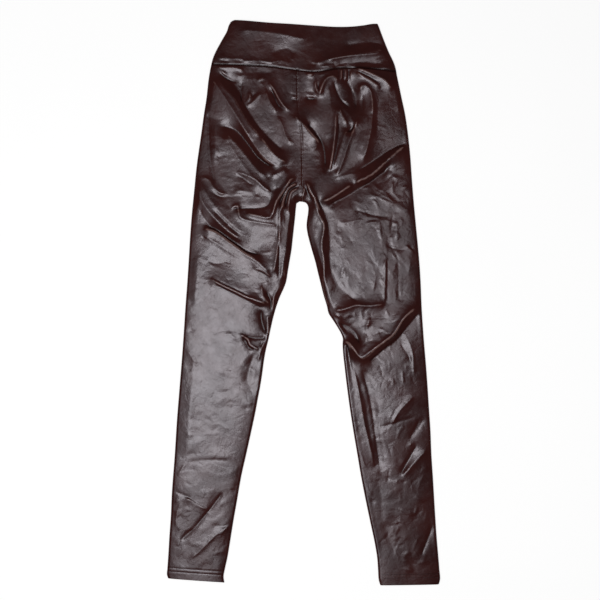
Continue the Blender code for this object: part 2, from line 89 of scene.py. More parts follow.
def route_curve(route: Table, step: float) -> Array:
    """Points about `step` apart on a smooth curve through a route's own points.

    Args:
        route: plan points.
        step: distance between the points returned, mm.

    Returns:
        Plan points, one a row.
    """
    pts = np.array(route, float)
    run = np.concatenate([[0.0], np.cumsum(np.hypot(*np.diff(pts, axis=0).T))])
    at = np.linspace(0.0, run[-1], max(2, int(run[-1] / step) + 1))
    return np.stack([table_curve(np.stack([run, pts[:, c]], 1), at) for c in (0, 1)], axis=1)


def smooth_step(t: Array) -> Array:
    """0 to 1 with level ends: t squared times (3 - 2t)."""
    t = np.clip(t, 0.0, 1.0)
    return t * t * (3.0 - 2.0 * t)


class Near(NamedTuple):
    """How far plan points lie from a line, and the line's normal at the place nearest to each."""

    dist: Array
    normal: Array


def nearest(points: Array, line: Array, reach: float = 45.0, batch: int = 8000) -> Near:
    """Finds the nearest place on a line of straight runs for each plan point.

    The line runs either down the garment or across it, so only the runs that lie within `reach` of
    the point on that axis are measured.

    Args:
        points: plan points.
        line: the line's corners, in order, evenly spaced.
        reach: how far along the line's own axis to look, mm.
        batch: how many points are measured at a time.

    Returns:
        The distances and the unit normals.
    """
    start, span = line[:-1], np.diff(line, axis=0)
    length = np.hypot(*span.T)
    axis = int(np.argmax(np.ptp(line, axis=0)))
    order = np.maximum.accumulate(line[:, axis])
    look = int(reach / length.mean()) + 1
    window = np.arange(-look, look + 1)
    k0 = np.searchsorted(order, points[:, axis])
    parts: list[tuple[Array, Array]] = []
    for low in range(0, len(points), batch):
        near = np.clip(k0[low:low + batch, None] + window, 0, len(span) - 1)
        rel = points[low:low + batch, None, :] - start[near]
        run_of = span[near]
        t = np.clip((rel * run_of).sum(2) / (length[near] ** 2), 0.0, 1.0)
        off = rel - t[..., None] * run_of
        dist = np.hypot(off[..., 0], off[..., 1])
        best = dist.argmin(axis=1)
        row = np.arange(len(best))
        k = near[row, best]
        parts.append((dist[row, best], np.stack([-span[k, 1], span[k, 0]], 1) / length[k, None]))
    return Near(*(np.concatenate(part) for part in zip(*parts)))


# ------------------------------------------------------------------------------------------ plan
class Side(Enum):
    """A leg, by the wearer's side. The value is the sign of its x."""

    RIGHT = -1
    LEFT = 1

    @property
    def word(self) -> str:
        """The side's name, as node names have it."""
        return self.name.lower()


@dataclass(frozen=True)
class Plan:
    """Outline and seams of the leggings as they lie, in mm."""

    middle: tuple[float, float] = (0.28, 494.6)     # plan place that is at the frame's origin
    seam_gap: float = 0.3                           # between the front and the back at an edge
    sewn_gap: float = 0.04                          # between two panels that are sewn side by side
    centre_top: float = 88.0                        # about where the centre seam starts
    crotch: tuple[float, float] = (-1.5, 318.4)     # foot of the centre seam
    turn_half: float = 8.2                          # half width of the turn round the crotch
    turn_run: int = 14                              # length of inseam that the turn lies within
    # upper edge of the waistband: x, down
    waist_edge: Table = (
        (-121, 0.6), (-100, 2.2), (-60, 5.8), (-20, 8.2), (20, 11.0), (60, 13.2), (85, 12.6), (105, 10.4),
        (122, 7.6), (130, 7.4),
    )
    # seam between the waistband and the leg panels: x, down
    band_seam: Table = (
        (-160, 78), (-130, 78.5), (-95, 80), (-60, 82), (-20, 87), (5, 90.5), (25, 91), (45, 88),
        (62, 85.5), (85, 84.5), (112, 85.5), (140, 88), (162, 91),
    )
    # the same seam on the back, in two straight runs: x, down
    back_seam: Table = ((-160, 78.3), (-2, 90.5), (162, 90.9))
    band_foot: tuple[float, float] = (78.3, 90.9)   # how far down the seam meets each side
    # centre seam, band to crotch: down, x
    centre: Table = ((78, -10.6), (120, -10.2), (160, -8.4), (200, -3.4), (245, -1.8), (318.4, -1.5))
    # outer edge of the right leg, waist to hem: down, x
    right_side: Table = (
        (0.6, -121), (3, -125.5), (8, -129.2), (20, -133.6), (40, -144.6), (60, -155), (70, -158.8),
        (80, -161.2), (100, -165), (140, -169.8), (160, -173), (200, -178.6), (260, -187), (300, -191),
        (340, -195), (380, -198), (420, -200.4), (460, -203), (500, -206), (540, -208.6), (580, -211.4),
        (640, -216.2), (700, -221), (760, -224.8), (830, -230), (870, -231.8), (900, -234), (940, -236.4),
        (960, -237.8), (970, -238.4), (976.5, -236.4),
    )
    # outer edge of the left leg, waist to hem: down, x
    left_side: Table = (
        (7.4, 130), (12, 132), (20, 135), (40, 142.6), (60, 151), (70, 156), (80, 160), (100, 164.2),
        (120, 168.4), (140, 172.6), (160, 177), (200, 183), (240, 187.2), (280, 190), (320, 193.2),
        (360, 197), (400, 200.8), (420, 202.6), (460, 205.2), (500, 206.8), (560, 210.8), (600, 214.2),
        (640, 217.2), (680, 219.8), (720, 222.4), (760, 224), (800, 226.6), (860, 230.2), (900, 232.8),
        (940, 236.2), (960, 237.8), (981, 238.6), (987, 236.8),
    )
    # inner edge of each leg, foot of the centre seam to hem: x, down
    right_inseam: Table = (
        (-1.5, 318.4), (-5, 318.1), (-9, 317.8), (-11.4, 320.2), (-12.6, 327), (-14, 342), (-16.2, 362),
        (-18.4, 382), (-20.6, 402), (-24, 422), (-27, 440), (-30.6, 460), (-34.4, 470), (-40, 482),
        (-46.6, 500), (-52.4, 520), (-57, 540), (-61.2, 560), (-66, 580), (-69.4, 600), (-72, 620),
        (-75.2, 640), (-79, 660), (-83, 682), (-90.6, 718), (-99.4, 758), (-108.4, 798), (-115.8, 840),
        (-122.8, 880), (-129.2, 920), (-132.8, 941), (-137, 960), (-139.4, 974), (-138, 983.6),
    )
    left_inseam: Table = (
        (-1.5, 318.4), (3.4, 319.6), (6.6, 322.4), (8.4, 327), (8.4, 336), (6.4, 350), (5.6, 360),
        (7.4, 374), (9.8, 384), (15, 403), (20.6, 422), (25.2, 441), (30.2, 461), (35.2, 481), (41, 500),
        (45, 515), (49, 521), (60, 538), (66.6, 550), (69, 557), (68.6, 566), (69.4, 582), (72, 606),
        (76, 640), (81.4, 680), (87.6, 720), (94.4, 760), (101.2, 800), (109, 840), (117.4, 880),
        (125.4, 918), (129.2, 942), (130.6, 962), (132.4, 982), (134.6, 988.6),
    )
    # levels of the rows at the turn round the crotch: where it starts on the centre seam, at that
    # seam's foot, at the turn's outermost place, and where it ends on the inseam
    turn_levels: tuple[float, float, float, float] = (309.4, 313.2, 317.1, 327.0)
    turn_width: float = 9.0                         # width over which such a row's end hangs down
    seam_fade: float = 50.0                         # length of leg over which rows lose the seam's curve

    def side_table(self, side: Side) -> Table:
        """Outer edge of a leg as rows of (down, x)."""
        return self.right_side if side is Side.RIGHT else self.left_side

    def outer_line(self, side: Side) -> Array:
        """Outer edge of a leg as plan points, waist to hem."""
        table = self.side_table(side)
        down = np.append(np.arange(table[0][0], table[-1][0] - 1.0, 3.0), table[-1][0])
        return np.stack([table_curve(table, down), down], 1)

    def inner_line(self, side: Side) -> Array:
        """Inner edge of a leg as plan points, foot of the centre seam to hem."""
        return route_curve(self.right_inseam if side is Side.RIGHT else self.left_inseam, 2.0)

    def centre_x(self, down: Array | float) -> Array:
        """x of the centre seam at a place down the garment."""
        return table_curve(self.centre, down)

    def seam_down(self, x: Array, back: bool = False) -> Array:
        """How far down the waistband's seam lies at x, on the front or on the back."""
        if back:
            return np.interp(x, *np.array(self.back_seam, float).T)
        return table_curve(self.band_seam, x)

    def back_seams(self) -> tuple[Array, Array]:
        """The waistband's seam and the centre seam on the back, as plan points."""
        x = np.linspace(-170.0, 165.0, 120)
        top = float(self.seam_down(self.centre_x(self.centre_top), back=True))
        down = np.linspace(top, self.crotch[1], 90)
        return np.stack([x, self.seam_down(x, back=True)], 1), np.stack([self.centre_x(down), down], 1)

    def inner_path(self, side: Side) -> tuple[Array, Array]:
        """Inner end of every row: down the centre seam, round the crotch and down the inseam.

        Args:
            side: which leg.

        Returns:
            Plan points about 1 mm apart, and each one's level, which is how far down its row is
            away from the crotch.
        """
        seam_top = float(self.seam_down(self.centre_x(self.centre_top)))
        down = np.append(np.arange(seam_top, self.crotch[1] - 0.5, 1.0), self.crotch[1])
        seam = np.stack([self.centre_x(down) + side.value * self.sewn_gap / 2, down], 1)
        leg = route_curve(self.right_inseam if side is Side.RIGHT else self.left_inseam, 1.0)[1:]
        path = np.concatenate([seam, leg])
        arc = np.concatenate([[0.0], np.cumsum(np.hypot(*np.diff(path, axis=0).T))])
        start, corner, across, end = self.turn_levels
        foot = len(seam) - 1
        bend = foot + int(np.argmax(np.abs(leg[:self.turn_run, 0] - self.crotch[0]) > self.turn_half)) + 1
        last = foot + int(np.argmax(leg[:, 1] > end)) + 1
        knots = (arc[int(np.argmax(down > start))], arc[foot], arc[bend], arc[last])
        level = np.interp(arc, knots, (start, corner, across, end))
        level = np.where(arc < knots[0], path[:, 1], np.where(arc > knots[-1], path[:, 1], level))
        return path, np.maximum.accumulate(level)


PLAN = Plan()


# ------------------------------------------------------------------------------------------ creases
class Fold(NamedTuple):
    """A crest line (a trough is below 0) with its height and route, in mm."""

    height: float
    route: Table
    fade: float = 12.0      # length over which each end fades in


# Large folds: those of the solids, of which a few on the hips, right thigh and waistband are moved or
# split, and a few shorter ones
FOLDS: tuple[Fold, ...] = (
    # right hip and thigh: long diagonals that run in to the crotch
    Fold(-1.6, ((-106, 94), (-85, 93), (-50, 93)), 8),
    Fold(3.2, ((-155, 98), (-140, 118), (-120, 140), (-110, 158), (-97, 180), (-80, 200), (-68, 215)), 20),
    Fold(4.4, ((-80, 200), (-68, 215), (-55, 232), (-40, 245), (-22, 254)), 16),
    Fold(-1.8, ((-142, 96), (-118, 118), (-104, 146), (-84, 180), (-60, 208), (-33, 232))),
    Fold(3.7, ((-163, 100), (-150, 118), (-135, 140), (-122, 160), (-110, 180), (-98, 200), (-85, 220)), 16),
    Fold(2.8, ((-98, 200), (-85, 220), (-72, 238), (-60, 250), (-27, 255)), 16),
    Fold(-1.8, ((-147, 184), (-118, 194), (-98, 216), (-80, 240), (-52, 259))),
    Fold(2.9, ((-137, 198), (-113, 222), (-93, 247), (-72, 270), (-58, 276))),
    Fold(3.1, ((-62, 277), (-44, 269), (-24, 259))),
    Fold(2.8, ((-140, 200), (-125, 225), (-98, 264), (-80, 283), (-65, 297), (-51, 300))),
    Fold(2.8, ((-51, 300), (-38, 280), (-25, 260))),
    Fold(2.1, ((-126, 300), (-102, 300), (-78, 306))),
    Fold(3.5, ((-10, 279), (-28, 287), (-43, 306), (-51, 324), (-57, 345), (-80, 343), (-106, 337))),
    Fold(2.5, ((-128, 338), (-117, 327), (-110, 346), (-82, 354), (-40, 361))),
    Fold(2.8, ((-186, 272), (-172, 300), (-155, 325), (-140, 343), (-112, 368), (-80, 383)), 34),
    Fold(3.5, ((-196, 262), (-186, 292), (-176, 320), (-160, 341), (-140, 362), (-120, 378), (-84, 394)), 44),
    Fold(-2.1, ((-172, 357), (-145, 373), (-120, 390), (-98, 406), (-72, 411))),
    Fold(3.6, ((-178, 366), (-155, 370), (-130, 388), (-105, 406), (-80, 423), (-56, 446))),
    Fold(2.2, ((-94, 430), (-72, 440), (-52, 453))),
    Fold(2.9, ((-167, 450), (-130, 468), (-100, 483), (-60, 498))),
    Fold(3.1, ((-28, 318), (-40, 333), (-41, 362), (-44, 400), (-50, 432), (-54, 448))),
    Fold(2.5, ((-23, 325), (-21, 350), (-22, 378), (-29, 405), (-33, 435), (-34, 458))),
    # right knee, calf and ankle
    Fold(-1.0, ((-79, 506), (-74, 530), (-65, 551))),
    Fold(-0.9, ((-84, 576), (-92, 602), (-97, 632), (-86, 656))),
    Fold(-0.3, ((-170, 707), (-148, 706), (-126, 718))),
    Fold(-0.3, ((-174, 749), (-150, 748), (-126, 753))),
    Fold(0.4, ((-205, 764), (-160, 762), (-120, 765))),
    Fold(-0.6, ((-139, 825), (-160, 852), (-182, 880), (-215, 910))),
    Fold(0.7, ((-228, 825), (-205, 835), (-185, 846), (-164, 858))),
    Fold(0.4, ((-124, 883), (-150, 900), (-175, 922), (-202, 945))),
    # left hip: arches below the seam, then ridges that close in on the crotch
    Fold(2.0, ((3, 97), (12, 96), (20, 98)), 4),
    Fold(1.0, ((2, 107), (12, 107), (21, 108)), 4),
    Fold(-1.0, ((2, 127), (12, 127), (23, 127)), 4),
    Fold(-2.0, ((2, 138), (12, 140), (24, 138)), 4),
    Fold(-2.0, ((74, 196), (84, 194), (90, 184)), 6),
    Fold(3.2, ((27, 137), (32, 118), (45, 101), (55, 102), (62, 116))),
    Fold(-2.6, ((72, 100), (84, 122), (90, 145), (92, 165))),
    Fold(2.9, ((61, 149), (57, 168), (56, 192), (52, 225), (46, 268))),
    Fold(2.5, ((78, 188), (70, 212), (62, 238), (53, 266))),
    Fold(2.5, ((97, 170), (85, 200), (75, 228), (65, 256), (55, 278))),
    Fold(3.5, ((88, 84), (115, 94), (142, 107), (158, 128))),
    Fold(2.8, ((88, 90), (115, 106), (138, 124))),
    Fold(2.5, ((98, 132), (104, 117), (114, 120), (120, 142), (120, 172), (112, 220), (103, 250))),
    Fold(3.2, ((-20, 165), (0, 184), (18, 205), (30, 218))),
    Fold(-2.1, ((5, 178), (28, 208), (37, 235), (41, 264))),
    Fold(4.2, ((178, 220), (147, 246), (118, 272), (86, 287))),
    Fold(3.5, ((88, 286), (72, 297), (52, 310), (28, 321))),
    Fold(-1.8, ((184, 215), (150, 230), (120, 249), (92, 266))),
    Fold(-2.0, ((152, 254), (125, 277), (98, 295), (70, 311), (42, 324))),
    # left thigh: a crest down the inner side that turns across above the knee
    Fold(2.2, ((5, 281), (16, 303), (25, 335), (36, 360), (33, 392), (36, 425), (35, 460), (40, 488),
           (50, 507))),
    Fold(-1.0, ((24, 312), (39, 345), (46, 380), (47, 430), (56, 457), (76, 480), (94, 492))),
    Fold(2.5, ((50, 508), (75, 505), (92, 499), (110, 501), (145, 497))),
    Fold(0.6, ((144, 412), (144, 450), (145, 498))),
    Fold(0.6, ((165, 405), (166, 450), (164, 490))),
    # left knee: one deep fold across, then a long trough down the shin
    Fold(4.9, ((199, 501), (176, 521), (158, 548), (130, 571), (101, 591), (88, 576), (70, 558))),
    Fold(-2.8, ((58, 532), (84, 546), (98, 568))),
    Fold(-2.1, ((202, 511), (183, 534), (165, 556), (140, 576), (112, 600))),
    Fold(1.8, ((119, 515), (106, 547))),
    Fold(-2.0, ((76, 562), (82, 598), (98, 635), (108, 670), (114, 710), (122, 750), (128, 790))),
    Fold(-1.1, ((128, 798), (136, 835), (137, 868), (147, 900), (161, 938))),
    Fold(0.9, ((197, 656), (172, 677), (152, 709))),
    Fold(-0.8, ((213, 692), (198, 713), (185, 739))),
    Fold(-1.0, ((200, 740), (184, 770), (167, 799))),
    Fold(0.8, ((218, 749), (192, 776), (171, 800))),
    Fold(-0.9, ((230, 877), (216, 910), (204, 941))),
    # large soft waves of the waistband
    Fold(1.7, ((-112, 18), (-50, 24), (8, 36))),
    Fold(2.4, ((16, 79), (45, 70), (80, 63), (120, 57), (144, 53))),
    Fold(-0.5, ((50, 81), (80, 78), (112, 77), (142, 78))),
    Fold(-1.4, ((70, 47), (115, 41), (142, 45))),
    Fold(-1.1, ((-60, 62), (-28, 52), (-10, 64))),
)

# Finer creases between them
CREASES: tuple[Fold, ...] = (
    # right hip, below the waistband
    Fold(2.2, ((-152, 84), (-132, 84.5), (-114, 86), (-103, 91)), 6),
    Fold(1.4, ((-150, 83), (-135, 97), (-128, 100))),
    Fold(1.3, ((-121, 90), (-110, 100), (-103, 96), (-100, 90))),
    Fold(-1.8, ((-148, 90), (-133, 104), (-120, 108), (-112, 106))),
    Fold(-1.8, ((-108, 104), (-109, 125), (-108, 150))),
    Fold(1.6, ((-99, 124), (-93, 134), (-97, 142), (-104, 147))),
    Fold(1.6, ((-104, 147), (-98, 150), (-90, 146), (-78, 133), (-70, 124))),
    Fold(-1.4, ((-88, 124), (-88, 134), (-93, 140))),
    Fold(2.0, ((-84, 112), (-78, 106), (-68, 103), (-62, 105))),
    Fold(1.4, ((-83, 113), (-72, 113), (-67, 119))),
    Fold(1.8, ((-63, 106), (-50, 125), (-42, 140), (-35, 150), (-22, 163))),
    Fold(1.4, ((-66, 119), (-64, 130), (-58, 145), (-50, 158), (-47, 168))),
    Fold(-2.0, ((-58, 118), (-50, 136), (-44, 150), (-33, 160))),
    Fold(1.3, ((-47, 167), (-40, 178), (-35, 190), (-30, 205), (-22, 215), (-14, 217))),
    Fold(0.8, ((-97, 86), (-98, 108)), 4),
    Fold(0.8, ((-90, 86), (-91, 110)), 4),
    Fold(0.8, ((-83, 86), (-86, 108)), 4),
    Fold(1.2, ((-120, 265), (-100, 272), (-80, 283), (-65, 296), (-57, 301), (-50, 297))),
    Fold(-1.2, ((-119, 271), (-105, 277), (-90, 288), (-80, 286))),
    Fold(-1.3, ((-167, 160), (-165, 200), (-163, 240), (-155, 290))),
    Fold(1.2, ((-182, 278), (-172, 277), (-165, 280), (-158, 292), (-150, 300), (-143, 304), (-130, 305))),
    Fold(-0.9, ((-160, 298), (-148, 309), (-130, 310))),
    # right thigh
    Fold(-1.4, ((-160, 330), (-140, 350), (-125, 365), (-110, 378))),
    Fold(-0.9, ((-182, 325), (-175, 345), (-165, 357), (-158, 363))),
    Fold(0.9, ((-178, 373), (-165, 383), (-150, 391), (-135, 402), (-115, 415), (-108, 420))),
    Fold(-0.9, ((-182, 378), (-165, 386))),
    Fold(0.8, ((-85, 404), (-70, 408), (-50, 404))),
    Fold(-0.8, ((-170, 421), (-150, 427), (-135, 423), (-120, 432))),
    Fold(1.0, ((-90, 432), (-75, 438), (-62, 446), (-53, 452))),
    Fold(1.0, ((-70, 453), (-62, 460), (-54, 466))),
    Fold(-1.1, ((-85, 437), (-70, 443), (-58, 450), (-48, 456))),
    Fold(1.2, ((-158, 455), (-140, 465), (-120, 474), (-100, 484), (-80, 492), (-60, 498))),
    Fold(-1.2, ((-163, 449), (-150, 457), (-130, 467), (-110, 476), (-90, 487))),
    Fold(-1.1, ((-160, 460), (-130, 475), (-100, 490), (-75, 502), (-62, 502))),
    Fold(1.4, ((-12, 278), (-22, 281), (-30, 290), (-42, 305), (-48, 312), (-50, 322), (-53, 335),
           (-57, 345), (-63, 347), (-80, 343), (-100, 340))),
    Fold(1.2, ((-128, 340), (-122, 328), (-115, 325), (-113, 335), (-110, 345), (-100, 350), (-80, 355),
           (-60, 358), (-40, 361))),
    Fold(-1.6, ((-128, 330), (-105, 330), (-80, 330), (-62, 325), (-56, 305))),
    Fold(1.2, ((-30, 318), (-38, 330), (-41, 335), (-40, 350), (-39, 360))),
    Fold(0.9, ((-41, 362), (-43, 385), (-46, 410), (-50, 430), (-52, 445))),
    Fold(-1.4, ((-46, 365), (-43, 400), (-42, 455))),
    Fold(1.1, ((-28, 390), (-31, 410), (-34, 430), (-33, 455))),
    Fold(0.9, ((-27, 320), (-23, 340), (-20, 355), (-20, 370), (-22, 385), (-27, 395))),
    Fold(1.1, ((-31, 460), (-40, 470), (-50, 482), (-52, 490), (-55, 510))),
    Fold(1.8, ((-73, 464), (-71, 480), (-60, 498)), 5),
    Fold(-2.4, ((-66, 474), (-56, 494), (-56, 514)), 6),
    Fold(1.6, ((-38, 464), (-50, 483), (-54, 500), (-57, 516)), 5),
    Fold(-2.6, ((-74, 506), (-73, 525), (-68, 542), (-63, 551)), 6),
    Fold(1.8, ((-63, 519), (-61, 535), (-60, 552)), 5),
    Fold(1.6, ((-66, 520), (-56, 519)), 3),
    # right knee, calf and ankle
    Fold(-0.6, ((-205, 544), (-185, 543))),
    Fold(0.7, ((-208, 573), (-198, 585), (-188, 597), (-180, 595))),
    Fold(0.7, ((-145, 552), (-128, 550), (-118, 558), (-110, 560))),
    Fold(-2.0, ((-105, 553), (-85, 556.5), (-62, 556)), 6),
    Fold(1.8, ((-112, 550), (-97, 558), (-93, 568), (-85, 573), (-76, 577)), 6),
    Fold(-1.8, ((-107, 555), (-100, 563), (-95, 573), (-86, 577)), 6),
    Fold(-1.2, ((-70, 562), (-76, 572)), 4),
    Fold(1.4, ((-68, 562), (-74, 580), (-80, 598)), 6),
    Fold(0.8, ((-90, 617), (-80, 612))),
    Fold(0.6, ((-195, 622), (-182, 619))),
    Fold(0.6, ((-150, 640), (-138, 637))),
    Fold(0.7, ((-105, 672), (-85, 671))),
    Fold(-0.6, ((-110, 676), (-98, 679), (-88, 680))),
    Fold(0.7, ((-165, 708), (-145, 707), (-135, 714), (-125, 718))),
    Fold(0.6, ((-205, 727), (-190, 725))),
    Fold(-0.8, ((-205, 768), (-200, 771), (-180, 770), (-160, 769), (-125, 771))),
    Fold(0.8, ((-202, 772), (-212, 785), (-222, 800))),
    Fold(0.5, ((-122, 775), (-125, 786))),
    Fold(0.7, ((-120, 790), (-113, 805))),
    Fold(-1.4, ((-140, 825), (-157, 848), (-167, 860), (-190, 888), (-216, 911)), 8),
    Fold(-1.0, ((-228, 823), (-215, 828), (-200, 835), (-185, 845), (-170, 852), (-163, 855))),
    Fold(0.7, ((-212, 838), (-200, 838), (-190, 843), (-178, 850), (-165, 857))),
    Fold(0.8, ((-230, 848), (-218, 840), (-210, 838))),
    Fold(0.8, ((-212, 840), (-218, 855), (-222, 870), (-222, 890))),
    Fold(0.9, ((-125, 883), (-140, 892), (-155, 902), (-165, 912), (-175, 922), (-185, 932), (-200, 942))),
    Fold(-0.7, ((-165, 880), (-140, 885), (-125, 878))),
    Fold(0.6, ((-165, 927), (-150, 923))),
    Fold(0.6, ((-232, 955), (-222, 945))),
    # pleats that run into the crotch
    Fold(3.0, ((-9.6, 278), (-22, 280), (-29, 294), (-46, 317), (-55, 346))),
    Fold(-2.2, ((-10, 284), (-22, 288), (-34, 306), (-44, 330))),
    Fold(2.4, ((-11, 286), (-25, 294), (-33, 310), (-38, 332)), 5),
    Fold(-1.8, ((-9, 291), (-22, 297), (-29, 312), (-32, 330)), 5),
    Fold(2.0, ((-8, 295), (-20, 301), (-25, 316), (-26, 340)), 5),
    Fold(1.6, ((-7, 303), (-15, 307), (-18, 322)), 4),
    Fold(2.0, ((1, 292), (1, 301), (-2.6, 313)), 4),
    Fold(2.4, ((2.6, 280), (8, 290), (11, 299), (20, 313), (31, 341))),
    Fold(-1.6, ((3, 290), (9, 305), (17, 322))),
    # strip at the top of the centre seam, and the puckers at its foot
    Fold(0.9, ((-20, 88), (-20.5, 110), (-20, 132)), 5),
    Fold(0.8, ((-15.5, 90), (-15.5, 112), (-15, 134)), 5),
    Fold(0.8, ((-11.5, 90), (-11.5, 112), (-11, 134)), 5),
    Fold(0.9, ((-21, 134), (-14, 137), (-9, 134)), 3),
    Fold(-1.0, ((-20, 139), (-14, 141), (-8, 139)), 3),
    # left hip
    Fold(1.6, ((4, 98), (12, 97), (20, 99)), 6),
    Fold(-1.4, ((2, 137), (12, 139), (22, 137)), 6),
    Fold(1.6, ((22, 100), (21, 115), (25, 130), (27, 136))),
    Fold(1.1, ((27, 136), (15, 134), (3, 130))),
    Fold(1.3, ((22, 100), (30, 97), (45, 93), (55, 92))),
    Fold(-1.4, ((26, 106), (27, 122), (30, 130))),
    Fold(1.3, ((27, 136), (30, 125), (35, 112), (42, 103), (48, 100), (54, 100), (60, 103))),
    Fold(0.9, ((43, 113), (47, 140), (50, 170))),
    Fold(-1.8, ((52, 105), (58, 125), (65, 140), (75, 150), (85, 158))),
    Fold(1.3, ((66.5, 86), (66, 107)), 4),
    Fold(1.3, ((74, 86), (74, 108)), 4),
    Fold(-1.1, ((62, 86), (61, 104)), 4),
    Fold(-1.0, ((70, 86), (70, 106)), 4),
    Fold(-1.1, ((79, 86), (80, 107)), 4),
    Fold(1.3, ((88, 84), (84, 95), (80, 108))),
    Fold(1.2, ((88, 84), (100, 88), (115, 94), (130, 101), (142, 107), (150, 117), (155, 125))),
    Fold(1.2, ((88, 90), (100, 98), (115, 106), (128, 115), (138, 124))),
    Fold(-1.2, ((92, 89), (108, 97), (122, 105), (134, 114))),
    Fold(0.9, ((75, 138), (83, 122))),
    Fold(1.1, ((68, 140), (75, 143), (82, 143))),
    Fold(1.4, ((98, 130), (101, 117), (108, 115), (115, 122), (119, 135), (121, 170))),
    Fold(-1.4, ((103, 128), (103, 150), (101, 172))),
    Fold(1.3, ((163, 108), (165, 130), (165, 165))),
    Fold(2.0, ((61, 150), (68, 168), (80, 190))),
    Fold(0.9, ((62, 150), (80, 166), (85, 175), (82, 190))),
    Fold(1.1, ((98, 172), (92, 182), (85, 190))),
    Fold(1.3, ((29, 217), (22, 224), (12, 230))),
    Fold(-1.6, ((5, 178), (15, 195), (28, 208), (35, 220), (38, 245), (38, 265), (45, 270))),
    Fold(0.9, ((57, 160), (56, 190), (53, 220), (50, 245), (46, 268))),
    Fold(0.9, ((75, 190), (68, 215), (60, 240), (52, 262))),
    Fold(0.9, ((95, 175), (85, 200), (77, 220), (70, 245), (63, 262), (55, 278))),
    Fold(-1.4, ((60, 170), (62, 200), (57, 230), (50, 255), (45, 275))),
    Fold(0.9, ((110, 160), (110, 190), (105, 210), (100, 230))),
    Fold(0.9, ((120, 160), (118, 190), (112, 220), (108, 238))),
    Fold(1.2, ((86, 287), (72, 297), (58, 307), (45, 315), (32, 320))),
    Fold(1.0, ((50, 280), (62, 276), (75, 272), (95, 268))),
    Fold(-1.0, ((150, 258), (143, 268), (136, 280))),
    Fold(1.0, ((146, 260), (152, 275), (155, 290), (157, 312))),
    Fold(1.0, ((148, 262), (155, 272), (162, 278), (175, 278))),
    Fold(1.3, ((168, 294), (188, 292))),
    Fold(0.8, ((120, 285), (130, 295), (145, 303))),
    Fold(0.8, ((118, 292), (135, 305), (150, 313), (165, 323), (190, 338))),
    # left thigh and knee
    Fold(1.3, ((5, 281), (12, 292), (16, 303), (20, 318), (25, 335), (32, 350), (36, 358), (36, 366),
           (34, 375), (32, 390), (32, 400), (35, 415), (37, 430), (36, 445), (34, 460), (36, 475),
           (40, 490), (46, 505))),
    Fold(1.2, ((50, 508), (65, 508), (75, 505), (88, 500), (95, 499), (105, 500), (125, 499), (145, 497))),
    Fold(0.9, ((72, 478), (80, 486), (85, 491))),
    Fold(-0.8, ((68, 428), (66, 455))),
    Fold(0.8, ((72, 430), (73, 455))),
    Fold(0.9, ((132, 345), (134, 370), (138, 395))),
    Fold(-0.9, ((157, 335), (155, 355), (152, 385))),
    Fold(0.8, ((162, 350), (164, 392))),
    Fold(-1.0, ((142, 393), (155, 398), (170, 402), (180, 402))),
    Fold(-0.5, ((146, 415), (147, 440), (146, 470), (147, 498))),
    Fold(0.9, ((142, 415), (143, 440), (142, 470), (142, 496))),
    Fold(-0.6, ((164, 410), (166, 440), (165, 488))),
    Fold(1.0, ((175, 392), (185, 400), (197, 413))),
    Fold(-0.9, ((180, 392), (195, 406))),
    Fold(0.8, ((128, 440), (124, 460), (122, 478))),
    Fold(0.7, ((118, 310), (128, 322), (132, 338))),
    Fold(0.9, ((110, 303), (125, 308), (140, 315), (160, 325), (175, 335), (190, 342))),
    Fold(-0.8, ((85, 330), (100, 335), (130, 343), (155, 345))),
    Fold(0.6, ((60, 358), (75, 355), (90, 352), (110, 350))),
    Fold(0.5, ((60, 398), (85, 402))),
    Fold(1.4, ((45, 515), (55, 517), (62, 518), (68, 530))),
    Fold(-2.0, ((58, 528), (78, 538), (92, 550), (100, 572))),
    Fold(1.4, ((195, 503), (185, 512), (175, 522), (168, 533), (160, 547), (150, 555), (130, 570),
           (115, 580), (103, 588), (97, 590))),
    Fold(1.3, ((97, 590), (90, 578), (80, 565), (70, 562))),
    Fold(0.8, ((117, 515), (112, 535), (107, 545))),
    Fold(0.8, ((88, 505), (90, 520), (88, 527))),
    Fold(0.8, ((142, 500), (148, 515), (152, 525))),
    Fold(0.8, ((105, 545), (110, 560), (103, 582))),
    Fold(0.6, ((140, 548), (155, 552))),
    # left calf and ankle
    Fold(1.4, ((78, 580), (85, 602), (92, 626), (99, 662), (107, 707), (114, 736), (120, 762),
           (124, 786)), 30),
    Fold(-1.0, ((100, 600), (107, 626), (117, 668), (123, 707), (128, 745), (132, 772), (136, 796)), 30),
    Fold(-0.8, ((100, 612), (120, 622), (135, 632), (140, 636))),
    Fold(-1.0, ((168, 560), (175, 575), (185, 590), (187, 605))),
    Fold(0.9, ((178, 550), (185, 565), (190, 580), (192, 600), (194, 625))),
    Fold(0.8, ((173, 608), (174, 625), (176, 640))),
    Fold(0.7, ((153, 620), (160, 640))),
    Fold(1.0, ((195, 657), (185, 665), (175, 675), (165, 688), (158, 700), (153, 708))),
    Fold(0.7, ((138, 668), (130, 680))),
    Fold(-0.9, ((130, 712), (150, 708), (165, 703), (185, 697), (200, 693))),
    Fold(-1.1, ((205, 693), (198, 710), (190, 725), (185, 737))),
    Fold(-0.9, ((212, 695), (200, 715), (188, 732))),
    Fold(0.9, ((180, 748), (190, 740), (195, 735))),
    Fold(-1.1, ((200, 740), (190, 758), (182, 772), (175, 785), (168, 797))),
    Fold(0.9, ((218, 750), (205, 762), (190, 778), (180, 790), (172, 797))),
    Fold(0.6, ((92, 730), (105, 727))),
    Fold(-0.8, ((128, 790), (140, 797), (150, 802), (158, 806))),
    Fold(0.8, ((98, 750), (102, 765), (108, 780), (115, 785))),
    Fold(0.8, ((168, 800), (163, 808), (160, 815))),
    Fold(-1.1, ((166, 808), (184, 806))),
    Fold(0.8, ((190, 832), (205, 838), (218, 842))),
    Fold(0.8, ((105, 812), (115, 825), (125, 835))),
